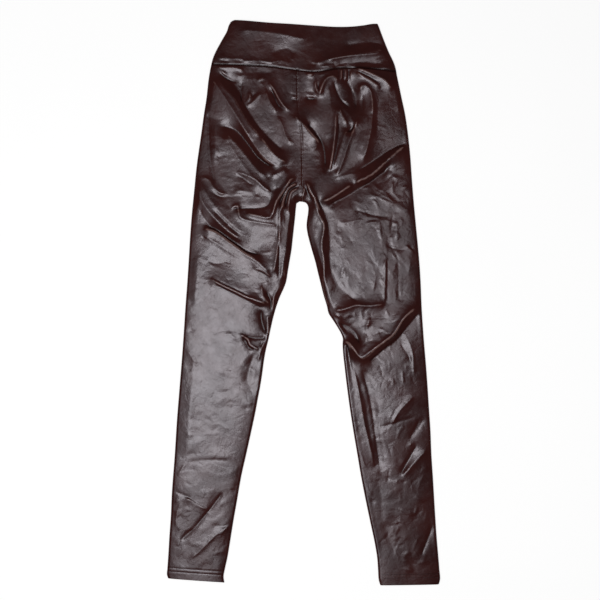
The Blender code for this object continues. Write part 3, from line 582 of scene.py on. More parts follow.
    Fold(-0.8, ((112, 836), (125, 843), (130, 847))),
    Fold(0.9, ((162, 853), (175, 858), (190, 865), (200, 868))),
    Fold(-0.8, ((203, 850), (200, 862))),
    Fold(-1.2, ((228, 880), (222, 895), (216, 910), (210, 925), (205, 938))),
    Fold(-0.7, ((195, 943), (205, 945))),
    Fold(0.9, ((170, 937), (180, 933), (192, 928))),
    Fold(0.9, ((172, 908), (185, 900))),
    Fold(0.9, ((172, 958), (185, 961), (197, 968))),
    Fold(0.9, ((203, 944), (202, 957))),
    # waistband
    Fold(0.8, ((-150, 62), (-140, 64), (-132, 68), (-110, 69), (-100, 72), (-85, 72), (-60, 75),
           (-40, 72), (-30, 73))),
    Fold(1.1, ((-152, 67), (-140, 69), (-128, 72))),
    Fold(-0.7, ((-150, 70), (-138, 72), (-126, 75))),
    Fold(0.9, ((-33, 64), (-27, 76))),
    Fold(0.9, ((-24, 62), (-14, 76))),
    Fold(-0.9, ((-29, 62), (-25, 74))),
    Fold(1.2, ((40, 72), (60, 68), (80, 65), (100, 63), (130, 60), (142, 57))),
    Fold(0.9, ((25, 83), (60, 80), (90, 78), (125, 78))),
    Fold(1.1, ((120, 80), (140, 65))),
    Fold(0.9, ((130, 78), (142, 84), (156, 84))),
    Fold(0.8, ((134, 88), (145, 76), (152, 78))),
)

# Soft rounded ridges and troughs beside the edges and between the folds
SOFT: tuple[Fold, ...] = (
    Fold(1.5, ((-182, 395), (-186, 450), (-191, 510)), 30),
    Fold(1.4, ((-152, 165), (-153, 210), (-155, 262)), 30),
    Fold(-2.4, ((84, 112), (90, 135), (90, 162)), 14),
    Fold(0.9, ((-188, 560), (-196, 660), (-206, 780)), 60),
    Fold(-1.2, ((-84, 582), (-90, 600), (-97, 620), (-98, 640)), 14),
    Fold(-1.7, ((104, 600), (111, 626), (121, 668), (127, 707), (132, 745), (136, 772), (140, 796)), 30),
    Fold(-1.2, ((130, 135), (130, 170), (125, 215)), 20),
)

# Low creases of the back, where it lifts off the floor
BACK_FOLDS: tuple[Fold, ...] = (
    Fold(0.9, ((-150, 112), (-120, 150), (-88, 196), (-50, 240), (-24, 262))),
    Fold(0.8, ((-152, 170), (-118, 215), (-80, 262), (-40, 290))),
    Fold(0.7, ((-120, 98), (-96, 140), (-70, 176), (-36, 200))),
    Fold(0.8, ((-165, 260), (-130, 290), (-90, 312), (-48, 318))),
    Fold(0.7, ((-176, 330), (-138, 352), (-96, 362), (-52, 356))),
    Fold(0.8, ((-178, 405), (-140, 424), (-98, 446), (-58, 470))),
    Fold(0.6, ((-186, 470), (-150, 486), (-112, 492))),
    Fold(0.7, ((-190, 548), (-150, 560), (-110, 556), (-84, 566))),
    Fold(0.6, ((-98, 590), (-108, 630), (-104, 672))),
    Fold(0.7, ((-205, 700), (-168, 712), (-130, 706))),
    Fold(0.6, ((-206, 786), (-170, 800), (-134, 798))),
    Fold(0.7, ((-150, 840), (-174, 868), (-204, 892))),
    Fold(0.6, ((-150, 912), (-178, 926), (-212, 924))),
    Fold(0.9, ((148, 108), (122, 142), (92, 184), (56, 228), (26, 262))),
    Fold(0.8, ((166, 178), (128, 214), (86, 252), (44, 284))),
    Fold(0.6, ((112, 100), (96, 138), (66, 170), (30, 196))),
    Fold(0.8, ((172, 262), (136, 288), (92, 306), (42, 312))),
    Fold(0.7, ((180, 330), (140, 344), (96, 352), (52, 348))),
    Fold(0.7, ((60, 380), (66, 420), (60, 462))),
    Fold(0.8, ((190, 486), (150, 508), (110, 516), (66, 506))),
    Fold(0.8, ((196, 540), (160, 566), (118, 584), (88, 574))),
    Fold(0.6, ((104, 620), (118, 664), (124, 712))),
    Fold(0.6, ((200, 664), (172, 688), (146, 704))),
    Fold(0.7, ((206, 748), (178, 778), (146, 790))),
    Fold(0.6, ((150, 830), (176, 846), (210, 848))),
    Fold(0.6, ((146, 900), (172, 914), (208, 908))),
)


class Crumple(NamedTuple):
    """A patch of small creases that lie by chance: how many, where, and which way they run."""

    count: int
    middle: tuple[float, float]     # x and down, mm
    half: tuple[float, float]       # half width and half length of the patch, mm
    angle: float                    # main direction, degrees from +x towards the hem
    spread: float                   # scatter of the direction, degrees
    length: tuple[float, float]     # shortest and longest, mm
    height: float                   # of the tallest, mm


CRUMPLES: tuple[Crumple, ...] = (
    # right hip and thigh
    Crumple(26, (-135, 232), (22, 30), 10, 12, (12, 34), 0.3),
    Crumple(20, (-105, 292), (40, 22), 12, 16, (12, 34), 0.4),
    Crumple(14, (-60, 185), (24, 20), 20, 14, (10, 24), 0.25),
    Crumple(26, (-120, 400), (60, 60), 28, 14, (16, 50), 0.35),
    Crumple(30, (-110, 450), (64, 30), 22, 18, (14, 40), 0.35),
    Crumple(12, (-40, 390), (12, 66), 84, 10, (18, 44), 0.4),
    # right knee, calf and ankle
    Crumple(30, (-130, 545), (66, 44), 12, 22, (8, 30), 0.35),
    Crumple(34, (-140, 660), (60, 80), 10, 34, (8, 26), 0.28),
    Crumple(30, (-165, 800), (46, 60), 8, 34, (10, 30), 0.35),
    Crumple(28, (-178, 895), (44, 50), -38, 34, (12, 40), 0.5),
    # left hip
    Crumple(12, (130, 210), (26, 30), 10, 12, (14, 34), 0.25),
    Crumple(12, (20, 240), (18, 20), 14, 30, (10, 24), 0.25),
    # left thigh
    Crumple(26, (130, 268), (46, 30), -34, 18, (16, 40), 0.7),
    Crumple(34, (140, 345), (44, 50), 38, 34, (12, 36), 0.6),
    Crumple(30, (150, 440), (36, 54), 84, 26, (12, 44), 0.55),
    Crumple(30, (75, 405), (34, 80), 88, 26, (10, 34), 0.45),
    Crumple(14, (22, 370), (12, 70), 76, 10, (16, 40), 0.7),
    # left knee, calf and ankle
    Crumple(30, (120, 535), (58, 34), -22, 34, (10, 36), 0.7),
    Crumple(26, (160, 590), (34, 44), 66, 26, (14, 40), 0.45),
    Crumple(30, (135, 680), (52, 60), -40, 24, (12, 44), 0.35),
    Crumple(30, (165, 790), (46, 60), -48, 26, (12, 44), 0.45),
    Crumple(26, (182, 900), (40, 52), -36, 40, (12, 40), 0.5),
    # waistband and the gathers at its seam
    Crumple(20, (-60, 55), (70, 20), 8, 16, (10, 36), 0.2),
    Crumple(26, (-80, 76), (66, 5), 4, 8, (10, 30), 0.5),
    Crumple(20, (70, 80), (66, 5), 2, 8, (10, 30), 0.4),
)


# Low waves that make the flats uneven
WAVES: tuple[Crumple, ...] = (
    Crumple(30, (-120, 400), (66, 80), 22, 22, (30, 70), 0.45),
    Crumple(36, (-140, 560), (62, 90), 8, 26, (26, 60), 0.5),
    Crumple(40, (-155, 730), (52, 110), 4, 26, (26, 60), 0.6),
    Crumple(24, (-180, 900), (44, 60), -30, 30, (26, 60), 0.5),
    Crumple(34, (110, 400), (76, 90), 70, 34, (30, 70), 0.45),
    Crumple(40, (150, 660), (60, 120), -50, 34, (26, 60), 0.3),
    Crumple(30, (175, 870), (44, 90), -50, 34, (26, 60), 0.5),
    Crumple(24, (-100, 170), (60, 80), 30, 24, (26, 60), 0.35),
    Crumple(24, (90, 190), (80, 90), -50, 30, (26, 60), 0.35),
    Crumple(18, (0, 45), (130, 26), 6, 14, (26, 70), 0.35),
)


def crumpled(patches: Sequence[Crumple], seed: int = 11) -> tuple[Fold, ...]:
    """Crest and trough lines for patches of small creases, each a wavering five-point route.

    Args:
        patches: the patches.
        seed: start of the random draws.

    Returns:
        The lines. Three in five are crests, and each has a third or more of its patch's height.
    """
    waver, least, crests, fade = 0.07, 0.35, 0.6, 0.7
    draw = np.random.default_rng(seed)
    folds = []
    for patch in patches:
        for _ in range(patch.count):
            middle = np.array(patch.middle) + draw.uniform(-1.0, 1.0, 2) * patch.half
            turn = math.radians(draw.normal(patch.angle, patch.spread))
            reach = draw.uniform(*patch.length) / 2
            way = np.array([math.cos(turn), math.sin(turn)]) * reach
            off = np.array([-way[1], way[0]]) * draw.normal(0.0, waver, (5, 1))
            height = patch.height * draw.uniform(least, 1.0) * (1.0 if draw.random() < crests else -1.0)
            route = tuple(map(tuple, middle + np.linspace(-1.0, 1.0, 5)[:, None] * way + off))
            folds.append(Fold(height, route, fade * reach))
    return tuple(folds)


def pinched(folds: Sequence[Fold], share: float = 0.09, least: float = 1.4) -> tuple[Fold, ...]:
    """Crests of more than a least height as narrow lines, a share as high, that pinch them to an edge."""
    return tuple(fold._replace(height=fold.height * share) for fold in folds if fold.height > least)


class Relief:
    """Height map of folds: a light sheet stretched over crest lines and pulled down to trough lines."""

    corner: tuple[float, float] = (-252.0, -12.0)   # plan place of the first cell
    extent: tuple[float, float] = (504.0, 1014.0)   # width and length, mm
    grip: tuple[float, float] = (0.02, 1.22)        # pull of a line at its very end and at full height

    def __init__(self, cell: float = 1.0) -> None:
        """Starts a flat map over the whole garment, with square cells of that side in mm."""
        self.cell = cell
        self.low = np.array(self.corner)
        self.shape = (int(self.extent[1] / cell), int(self.extent[0] / cell))
        self.map = np.zeros(self.shape)

    def stretch(self, folds: Sequence[Fold], span: float, soft: float, scale: float = 1.0,
                rounds: int = 260) -> "Relief":
        """Adds the sheet that is stretched over a set of folds.

        The sheet settles where (sum of its neighbours - 4 height) - (cell / span)^2 height
        + pull (line - height) is 0, so it runs straight between lines that are near each other and
        dies out over `span` beyond them. Each line's pull fades in from its ends. The sheet is then
        smoothed, so its crests are round.

        Args:
            folds: the lines, with their heights.
            span: how far a fold's sides reach, mm.
            soft: roundness of the crests, mm.
            scale: factor on the heights.
            rounds: settling steps.

        Returns:
            This relief.
        """
        pull, lift = np.zeros(self.shape), np.zeros(self.shape)
        step = 0.5
        for fold in folds:
            line = route_curve(fold.route, step)
            along = np.arange(len(line)) * step
            end = smooth_step(np.minimum(along, along[-1] - along) / fold.fade)
            height = fold.height * scale * end
            strength = self.grip[0] + (self.grip[1] - self.grip[0]) * end
            grid = (line - self.low) / self.cell
            col, row = np.floor(grid).astype(int).T
            fx, fy = (grid - np.floor(grid)).T
            for dr, dc, share in ((0, 0, (1 - fx) * (1 - fy)), (0, 1, fx * (1 - fy)),
                                  (1, 0, (1 - fx) * fy), (1, 1, fx * fy)):
                np.add.at(pull, (row + dr, col + dc), strength * share)
                np.add.at(lift, (row + dr, col + dc), strength * share * height)
        sheet = np.zeros(self.shape)
        hold = 4.0 + (self.cell / span) ** 2 + pull
        for _ in range(rounds):
            around = np.zeros(self.shape)
            around[1:] += sheet[:-1]
            around[:-1] += sheet[1:]
            around[:, 1:] += sheet[:, :-1]
            around[:, :-1] += sheet[:, 1:]
            sheet = (around + lift) / hold
        self.map += self.smoothed(sheet, soft)
        return self

    def ridges(self, width: float = 1.3) -> "Relief":
        """How far the map stands out of itself blurred over `width` mm: above 0 on a crest."""
        out = Relief(self.cell)
        out.map = self.map - self.smoothed(self.map, width)
        return out

    def add(self, other: "Relief") -> "Relief":
        """Adds another map, whose cells may be larger."""
        down, x = np.meshgrid(*(np.arange(n) * self.cell for n in self.shape), indexing="ij")
        places = np.column_stack([x.ravel(), down.ravel()]) + self.low
        self.map += other.at(places).reshape(self.shape)
        return self

    def smoothed(self, sheet: Array, soft: float) -> Array:
        """A map blurred by a bell of width `soft` mm, along each axis in turn."""
        reach = max(1, int(3 * soft / self.cell))
        bell = np.exp(-0.5 * (np.arange(-reach, reach + 1) * self.cell / max(soft, 0.1)) ** 2)
        bell /= bell.sum()
        for axis in (0, 1):
            padded = np.pad(sheet, [(reach, reach) if a == axis else (0, 0) for a in (0, 1)], mode="edge")
            size = sheet.shape[axis]
            sheet = sum(w * padded.take(range(k, k + size), axis) for k, w in enumerate(bell))
        return sheet

    def at(self, points: Array) -> Array:
        """Height at plan points, mixed evenly from the four cells round each."""
        grid = np.clip((points - self.low) / self.cell, 0, np.array(self.shape[::-1]) - 1.001)
        col, row = np.floor(grid).astype(int).T
        fx, fy = (grid - np.floor(grid)).T
        upper = self.map[row, col] * (1 - fx) + self.map[row, col + 1] * fx
        lower = self.map[row + 1, col] * (1 - fx) + self.map[row + 1, col + 1] * fx
        return upper * (1 - fy) + lower * fy


# ------------------------------------------------------------------------------------------ walls
@dataclass(frozen=True)
class Cloth:
    """Thickness of the coated cloth and the heights at which its layers lie, mm."""

    wall: float = 1.3
    doubled: float = 1.9            # waistband, and the turned hem
    side_seam: float = 2.5          # height of the edge at a side seam or inseam
    roll: float = 4.0               # width over which the cloth rolls round an edge
    edge_top: float = 4.7           # height of the upper layer just inside the edges
    loft: float = 2.0               # more height in the middle of a leg
    loft_reach: float = 14.0
    band_proud: float = 0.5         # the band stands this much above the panels
    layer_gap: float = 0.5          # least space between the upper and the lower layer
    band_gap: float = 0.6           # more of it under the doubled band
    soft_stop: float = 0.6          # height over which the upper layer eases into its least height
    fold_start: float = 1.0         # distance from an edge at which folds begin
    fold_fade: float = 10.0         # width over which they grow to their full height
    mouth_round: float = 0.75       # radius of the folded edge at the waist and the hems
    seam_dip: float = 0.5           # depth of the cloth at a sewn seam
    dip_reach: float = 1.6          # half width of the dip at the waistband's seam
    centre_reach: float = 2.0       # half width of the dip at the centre seam
    pucker: float = 0.07            # height of the puckers across the centre seam
    pucker_reach: float = 4.0       # width over which they die out to each side
    pucker_turns: tuple[float, float] = (0.83, 1.37)        # their two waves, radians a mm
    pucker_wander: tuple[float, float] = (1.7, 0.21)        # of the first one: radians, radians a mm
    pucker_second: float = 0.6      # height of the second wave against the first
    centre_ends: tuple[float, float] = (84.0, 320.4)        # where dip and puckers end, down the seam
    centre_fades: tuple[float, float] = (6.0, 4.0)          # lengths over which they fade in there
    groove: tuple[float, float] = (0.28, 1.2)       # under topstitching: depth and half width
    back_groove: tuple[float, float] = (0.45, 1.6)  # the same on the underside, and at its seams
    back_lift: float = 0.9          # most that a crease lifts the lower layer
    inner_lift: float = 0.4         # share of that lift that its inner face takes
    back_edge: tuple[float, float] = (4.0, 8.0)     # where such lift begins, and how it grows inward
    seam_shade: tuple[float, float] = (0.6, 1.7)    # painted shade beside the waistband's seam: depth, width


CLOTH = Cloth()


class Skins(NamedTuple):
    """Outer and inner skin of a wall as grids of (x, down, height), mm."""

    outer: Array
    inner: Array


def edge_reach(points: Array, lines: Sequence[tuple[Array, int]]) -> tuple[Array, Array]:
    """Distance to the nearest rolled edge, and the direction inward from it.

    Args:
        points: plan points.
        lines: each edge with the sign that turns its normal inward.

    Returns:
        Distances and unit plan vectors.
    """
    best = np.full(len(points), np.inf)
    inward = np.zeros((len(points), 2))
    for line, turn in lines:
        near = nearest(points, line)
        closer = near.dist < best
        best[closer] = near.dist[closer]
        inward[closer] = turn * near.normal[closer]
    return best, inward


def edge_roll(reach: Array) -> Array:
    """Quarter round from 0 at an edge to 1 a roll's width in: sqrt(1 - (1 - reach / width)^2)."""
    return np.sqrt(1 - (1 - np.clip(reach / CLOTH.roll, 0, 1)) ** 2)


@dataclass(frozen=True)
class UpperLayer:
    """Form of the front layer: the height of its outer face over the plan."""

    lines: tuple[tuple[Array, int], ...]
    relief: Relief
    proud: float = 0.0
    wall: float = CLOTH.wall
    grooves: tuple[Array, ...] = ()

    def seam_dip(self, points: Array) -> Array:
        """Dip at the waistband's seam and at the centre seam, with small puckers across it.

        The waistband's seam is a trough, depth times (1 - (distance / reach)^2), and the centre seam
        a bell, depth times exp(-(distance / reach)^2). The puckers are two sine waves along the
        centre seam, times exp(-distance / reach). Both fade out at the centre seam's ends.
        """
        x, down = points.T
        off = down - PLAN.seam_down(x)
        dip = CLOTH.seam_dip * np.clip(1 - (off / CLOTH.dip_reach) ** 2, 0.0, 1.0)
        side = x - PLAN.centre_x(down)
        (top, foot), (fade_in, fade_out) = CLOTH.centre_ends, CLOTH.centre_fades
        along = smooth_step((foot - down) / fade_out) * smooth_step((down - top) / fade_in)
        dip = dip + CLOTH.seam_dip * np.exp(-(side / CLOTH.centre_reach) ** 2) * along
        (first, second), (wander, slow) = CLOTH.pucker_turns, CLOTH.pucker_wander
        wave = np.sin(down * first + wander * np.sin(down * slow))
        wave = wave + CLOTH.pucker_second * np.sin(down * second + 1.0)
        return dip - CLOTH.pucker * wave * np.exp(-np.abs(side) / CLOTH.pucker_reach) * along

    def height(self, points: Array) -> tuple[Array, Array, Array]:
        """Height of the outer face before its edge roll.

        It is edge height + loft (1 - exp(-reach / loft reach)) + folds and creases, each faded in from
        the edges, - the dips of the seams and of the stitching, and it is softly kept above the
        lower layer.

        Args:
            points: plan points, one a row.

        Returns:
            The height, the distance to the nearest edge, and the inward direction.
        """
        reach, inward = edge_reach(points, self.lines)
        full = CLOTH.edge_top + self.proud + CLOTH.loft * (1 - np.exp(-reach / CLOTH.loft_reach))
        full = full + self.relief.at(points) * smooth_step((reach - CLOTH.fold_start) / CLOTH.fold_fade)
        full = full - self.seam_dip(points)
        for line in self.grooves:
            full = full - bell(points, line, *CLOTH.groove)
        return self.clear_of_lower(full), reach, inward

    def least(self) -> float:
        """Lowest that the outer face may lie."""
        return CLOTH.wall + CLOTH.layer_gap + self.wall + (CLOTH.band_gap if self.wall > CLOTH.wall else 0.0)

    def clear_of_lower(self, full: Array) -> Array:
        """Softly lifts what would go below the least height: least + s ln(1 + exp((h - least) / s))."""
        return self.least() + np.logaddexp(0.0, (full - self.least()) / CLOTH.soft_stop) * CLOTH.soft_stop

    def rolled(self, full: Array, reach: Array) -> Array:
        """Rolls the face down to the side seam: seam height + (height - seam height) times the roll."""
        return CLOTH.side_seam + (full - CLOTH.side_seam) * edge_roll(reach)

    def surface(self, points: Array) -> Array:
        """Outer face at plan points, as (x, down, height)."""
        full, reach, _ = self.height(points)
        return np.column_stack([points, self.rolled(full, reach)])

    def skins(self, net: Array, mouth: Array, wall: Array) -> Skins:
        """Outer and inner skins over a plan net.

        The inner skin is the outer one a wall lower, measured square to the slope, and a wall
        further in round the roll. Both meet round the folded cloth of a mouth.

        Args:
            net: plan net, rows by columns.
            mouth: distance of each row from a folded mouth edge, mm.
            wall: thickness of each row, mm.

        Returns:
            The two skins.
        """
        plan = net.reshape(-1, 2)
        full, reach, inward = self.height(plan)
        roll = edge_roll(reach)
        grid = full.reshape(net.shape[:2])
        thick = np.repeat(wall, net.shape[1])
        deep = thick * lean_factor(net, grid).ravel()
        lowest = CLOTH.wall + CLOTH.layer_gap
        deep = np.minimum(deep, full - lowest)
        outer = np.column_stack([plan, self.rolled(full, reach)])
        shift = inward * (thick * np.clip(1 - reach / CLOTH.roll, 0, 1))[:, None]
        inner = np.column_stack([plan + shift, CLOTH.side_seam + (full - deep - CLOTH.side_seam) * roll])
        turn = np.repeat(mouth_drop(mouth), net.shape[1]) * np.clip(deep / CLOTH.doubled, 0.5, 1.0)
        outer[:, 2] -= turn
        inner[:, 2] += turn
        shape = (*net.shape[:2], 3)
        return Skins(outer.reshape(shape), inner.reshape(shape))


def bell(points: Array, line: Array, depth: float, half: float) -> Array:
    """Groove along a line: depth times exp(-(distance / half)^2)."""
    groove = np.zeros(len(points))
    box = ((points > line.min(0) - 4 * half) & (points < line.max(0) + 4 * half)).all(1)
    if box.any():
        groove[box] = depth * np.exp(-(nearest(points[box], line, reach=6.0).dist / half) ** 2)
    return groove


def mouth_drop(mouth: Array) -> Array:
    """How far a face turns in towards the middle of a folded edge: r - sqrt(r^2 - (r - m)^2)."""
    r = CLOTH.mouth_round
    inside = np.clip(r - mouth, 0.0, r)
    return r - np.sqrt(r * r - inside ** 2)


def lean_factor(net: Array, height: Array) -> Array:
    """How much deeper than its thickness a sloping wall is, sqrt(1 + slope^2), from 1 to 1.4."""
    least_step = 0.3
    row = np.maximum(np.hypot(*np.gradient(net, axis=0).transpose(2, 0, 1)), least_step)
    col = np.maximum(np.hypot(*np.gradient(net, axis=1).transpose(2, 0, 1)), least_step)
    slope = (np.gradient(height, axis=0) / row) ** 2 + (np.gradient(height, axis=1) / col) ** 2
    return np.clip(np.sqrt(1 + slope), 1.0, 1.4)


@dataclass(frozen=True)
class LowerLayer:
    """Form of the back layer: flat on the floor, with a few low creases that lift off it."""

    lines: tuple[tuple[Array, int], ...]
    relief: Relief
    grooves: tuple[Array, ...] = ()

    def lift(self, points: Array, reach: Array) -> Array:
        """How far creases, stitching and seams lift the layer off the floor, faded at the edges."""
        lift = np.clip(self.relief.at(points), 0.0, CLOTH.back_lift)
        for line in self.grooves:
            lift = lift + bell(points, line, *CLOTH.back_groove)
        start, width = CLOTH.back_edge
        return lift * smooth_step((reach - start) / width)

    def skins(self, net: Array, mouth: Array, wall: Array) -> Skins:
        """Outer (lower) and inner (upper) skins over a plan net.

        The outer face is the lift, rolled up to the side seam by edge (1 - roll). The inner one lies a
        wall above the floor, and takes a share of the lift.

        Args:
            net: plan net, rows by columns.
            mouth: distance of each row from a folded mouth edge, mm.
            wall: thickness of each row, mm.

        Returns:
            The two skins, the outer one first.
        """
        plan = net.reshape(-1, 2)
        reach, inward = edge_reach(plan, self.lines)
        roll = edge_roll(reach)
        edge = CLOTH.side_seam - PLAN.seam_gap
        lift = self.lift(plan, reach)
        thick = np.repeat(wall, net.shape[1])
        outer = np.column_stack([plan, edge * (1 - roll) + lift])
        shift = inward * (thick * np.clip(1 - reach / CLOTH.roll, 0, 1))[:, None]
        height = edge + (thick - edge) * roll + CLOTH.inner_lift * lift * roll
        inner = np.column_stack([plan + shift, height])
        turn = np.repeat(mouth_drop(mouth), net.shape[1]) * np.clip(thick / CLOTH.doubled, 0.5, 1.0) * roll
        outer[:, 2] += turn
        inner[:, 2] -= turn
        shape = (*net.shape[:2], 3)
        return Skins(outer.reshape(shape), inner.reshape(shape))


# ------------------------------------------------------------------------------------------ nets
@dataclass(frozen=True)
class NetSteps:
    """Spacing of a net of cloth, mm."""

    row: float = 1.58
    near_mouth: float = 1.0         # spacing of the rows near a folded mouth edge
    mouth_zone: float = 20.0
    column: float = 1.58
    mouth_rows: tuple[float, ...] = (0.0, 0.12, 0.4, 0.8, 1.4)      # distances from a folded edge
    zone_start: float = 2.0         # distance of the next row, from which they are evenly spaced
    roll_turns: int = 6             # steps round the roll of an edge, an even number

    def row_places(self, length: float) -> Array:
        """An odd count of places along a strip that ends in a mouth edge, closer together near it."""
        zone = np.arange(self.zone_start, self.mouth_zone, self.near_mouth)
        count = max(2, round((length - self.mouth_zone) / self.row))
        count += (len(self.mouth_rows) + len(zone) + count) % 2
        body = np.linspace(self.mouth_zone, length, count + 1)
        return length - np.concatenate([self.mouth_rows, zone, body])[::-1]

    def columns(self, width: float, count: int) -> Array:
        """Shares across a row: some close to each edge for the roll, an odd count evenly between."""
        angle = np.linspace(0.0, math.pi / 2, self.roll_turns + 1)
        edge = CLOTH.roll * (1 - np.cos(angle))
        middle = np.linspace(CLOTH.roll, width - CLOTH.roll, count + count % 2 + 1)[1:-1]
        return np.concatenate([edge, middle, width - edge[::-1]]) / width


def keep_side(skin: Array, side: Side) -> Array:
    """Keeps a leg panel's skin on its own side of the centre seam."""
    limit = PLAN.centre_x(skin[..., 1]) + side.value * PLAN.sewn_gap / 2
    above = skin[..., 1] < PLAN.crotch[1] + 1.0
    held = np.maximum(skin[..., 0], limit) if side is Side.LEFT else np.minimum(skin[..., 0], limit)
    skin[..., 0] = np.where(above, held, skin[..., 0])
    return skin


def leg_net(side: Side, steps: NetSteps, back: bool) -> tuple[Array, Array]:
    """Plan net of a leg panel, from its outer edge to the centre seam and the inseam.

    Each row starts at an inner end, tilts evenly from the waistband's seam to the hem, and near the
    crotch hangs down to its inner end. The rows take the seam's curve at the top.

    Args:
        side: which leg.
        steps: spacing of the net.
        back: True for the back panel, whose top edge is straighter.

    Returns:
        The net, rows by columns by 2, and each row's distance from the hem.
    """
    path, level = PLAN.inner_path(side)
    arc = np.concatenate([[0.0], np.cumsum(np.hypot(*np.diff(path, axis=0).T))])
    at = steps.row_places(float(arc[-1]))
    ends = np.stack([np.interp(at, arc, path[:, c]) for c in (0, 1)], 1)
    levels = np.interp(at, arc, level)
    hang = ends[:, 1] - levels
    table = PLAN.side_table(side)
    top_out = PLAN.band_foot[0 if side is Side.RIGHT else 1]
    top_in, hem_in, hem_out = ends[0, 1], ends[-1, 1], table[-1][0]
    down_out = top_out + (hem_out - top_out) * (levels - top_in) / (hem_in - top_in)
    x_out = table_curve(table, down_out)
    width = np.abs(ends[:, 0] - x_out)
    count = round((width.max() - 2 * CLOTH.roll) / steps.column)
    s = np.stack([steps.columns(float(w), count) for w in width])
    x = x_out[:, None] + (ends[:, 0] - x_out)[:, None] * s
    fall = smooth_step(1 - (1 - s) * width[:, None] / PLAN.turn_width)
    down = down_out[:, None] + (levels - down_out)[:, None] * s + hang[:, None] * fall
    seam = PLAN.seam_down(x, back) - (top_out + (top_in - top_out) * s)
    down = down + seam * (1 - smooth_step((levels - top_in) / PLAN.seam_fade))[:, None]
    return np.stack([x, down], 2), arc[-1] - at


def band_net(steps: NetSteps, back: bool) -> tuple[Array, Array]:
    """Plan net of a waistband half, from its upper edge to its seam with the panels.

    Rows blend evenly from the waist edge to the seam, and each row's ends are on the side edges.

    Args:
        steps: spacing of the net.
        back: True for the back half.

    Returns:
        The net, rows by columns by 2, and each row's distance from the waist edge.
    """
    right, left = PLAN.right_side, PLAN.left_side
    foot_r, foot_l = PLAN.band_foot
    depth = foot_r - right[0][0]
    at = (depth - steps.row_places(depth))[::-1]
    t = at / depth
    down_r = right[0][0] + (foot_r - PLAN.sewn_gap - right[0][0]) * t
    down_l = left[0][0] + (foot_l - PLAN.sewn_gap - left[0][0]) * t
    x_r, x_l = table_curve(right, down_r), table_curve(left, down_l)
    count = round((x_l - x_r).max() / steps.column)
    s = np.stack([steps.columns(float(w), count) for w in x_l - x_r])
    upper = table_curve(PLAN.waist_edge, right[0][1] + (left[0][1] - right[0][1]) * s)
    x_seam = table_curve(right, foot_r) * (1 - s) + table_curve(left, foot_l) * s
    lower = PLAN.seam_down(x_seam, back) - PLAN.sewn_gap
    x = x_r[:, None] + (x_l - x_r)[:, None] * s
    return np.stack([x, upper + (lower - upper) * t[:, None]], 2), at


# ------------------------------------------------------------------------------------------ meshes
def to_frame(points: Array) -> Array:
    """Turns (x, down, height) in mm into the frame's metres."""
    x, down, height = points.T
    return np.stack([x - PLAN.middle[0], PLAN.middle[1] - down, height], 1) * MM


def new_piece(name: str, verts: Array, faces: Array, index: Array, finishes: Sequence[bpy.types.Material],
              corners: Array | None = None, sharp: float = 60.0) -> bpy.types.Object:
    """Makes one object from four-cornered faces, and some of three, turned to face outwards.

    Args:
        name: name of the piece.
        verts: places in metres.
        faces: corner numbers, four a face.
        index: which finish each face has.
        finishes: the materials.
        corners: corner numbers of the faces with three corners, which take the first finish.
        sharp: edges that turn by more than this are drawn sharp, degrees.

    Returns:
        The object, in the scene.
    """
    a, b, c, d = (verts[faces[:, k]] for k in range(4))
    volume = np.einsum("ij,ij->i", a, np.cross(b, c)).sum() + np.einsum("ij,ij->i", a, np.cross(c, d)).sum()
    three = np.zeros((0, 3), int) if corners is None else corners
    if volume < 0:
        faces, three = faces[:, ::-1], three[:, ::-1]
    mesh = bpy.data.meshes.new(name)
    mesh.from_pydata(verts, [], faces.tolist() + three.tolist())
    which = np.concatenate([index, np.zeros(len(three), int)])
    mesh.polygons.foreach_set("material_index", which.astype(np.int32))
    for finish in finishes:
        mesh.materials.append(finish)
    mesh.shade_smooth()
    mesh.set_sharp_from_angle(angle=math.radians(sharp))
    mesh.validate()
    piece = bpy.data.objects.new(name, mesh)
    bpy.context.scene.collection.objects.link(piece)
    return piece


def wall_piece(name: str, skins: Skins, outside: bpy.types.Material, inside: bpy.types.Material
               ) -> bpy.types.Object:
    """Closed wall between two skins, with its rim joined. The inner one has half as many steps.

    Args:
        name: name of the piece.
        skins: outer and inner skin, of the same grid with odd numbers of rows and columns.
        outside: finish of the outer face and the rim.
        inside: finish of the inner face.

    Returns:
        The object.
    """
    half = skins.inner[::2, ::2]
    verts = to_frame(np.concatenate([skins.outer.reshape(-1, 3), half.reshape(-1, 3)]))
    at = np.arange(skins.outer[..., 0].size).reshape(skins.outer.shape[:2])
    low = np.arange(half[..., 0].size).reshape(half.shape[:2]) + at.size
    upper = np.stack([at[:-1, :-1], at[1:, :-1], at[1:, 1:], at[:-1, 1:]], 2).reshape(-1, 4)
    lower = np.stack([low[:-1, :-1], low[:-1, 1:], low[1:, 1:], low[1:, :-1]], 2).reshape(-1, 4)
    ring, below = rim_ring(at), rim_ring(low)
    start, middle, end, under = ring[::2], ring[1::2], np.roll(ring[::2], -1), np.roll(below, -1)
    rim = np.stack([start, below, under, middle], 1)
    faces = np.concatenate([upper, lower, rim])
    index = np.zeros(len(faces), int)
    index[len(upper):len(upper) + len(lower)] = 1
    return new_piece(name, verts, faces, index, (outside, inside), np.stack([middle, under, end], 1))


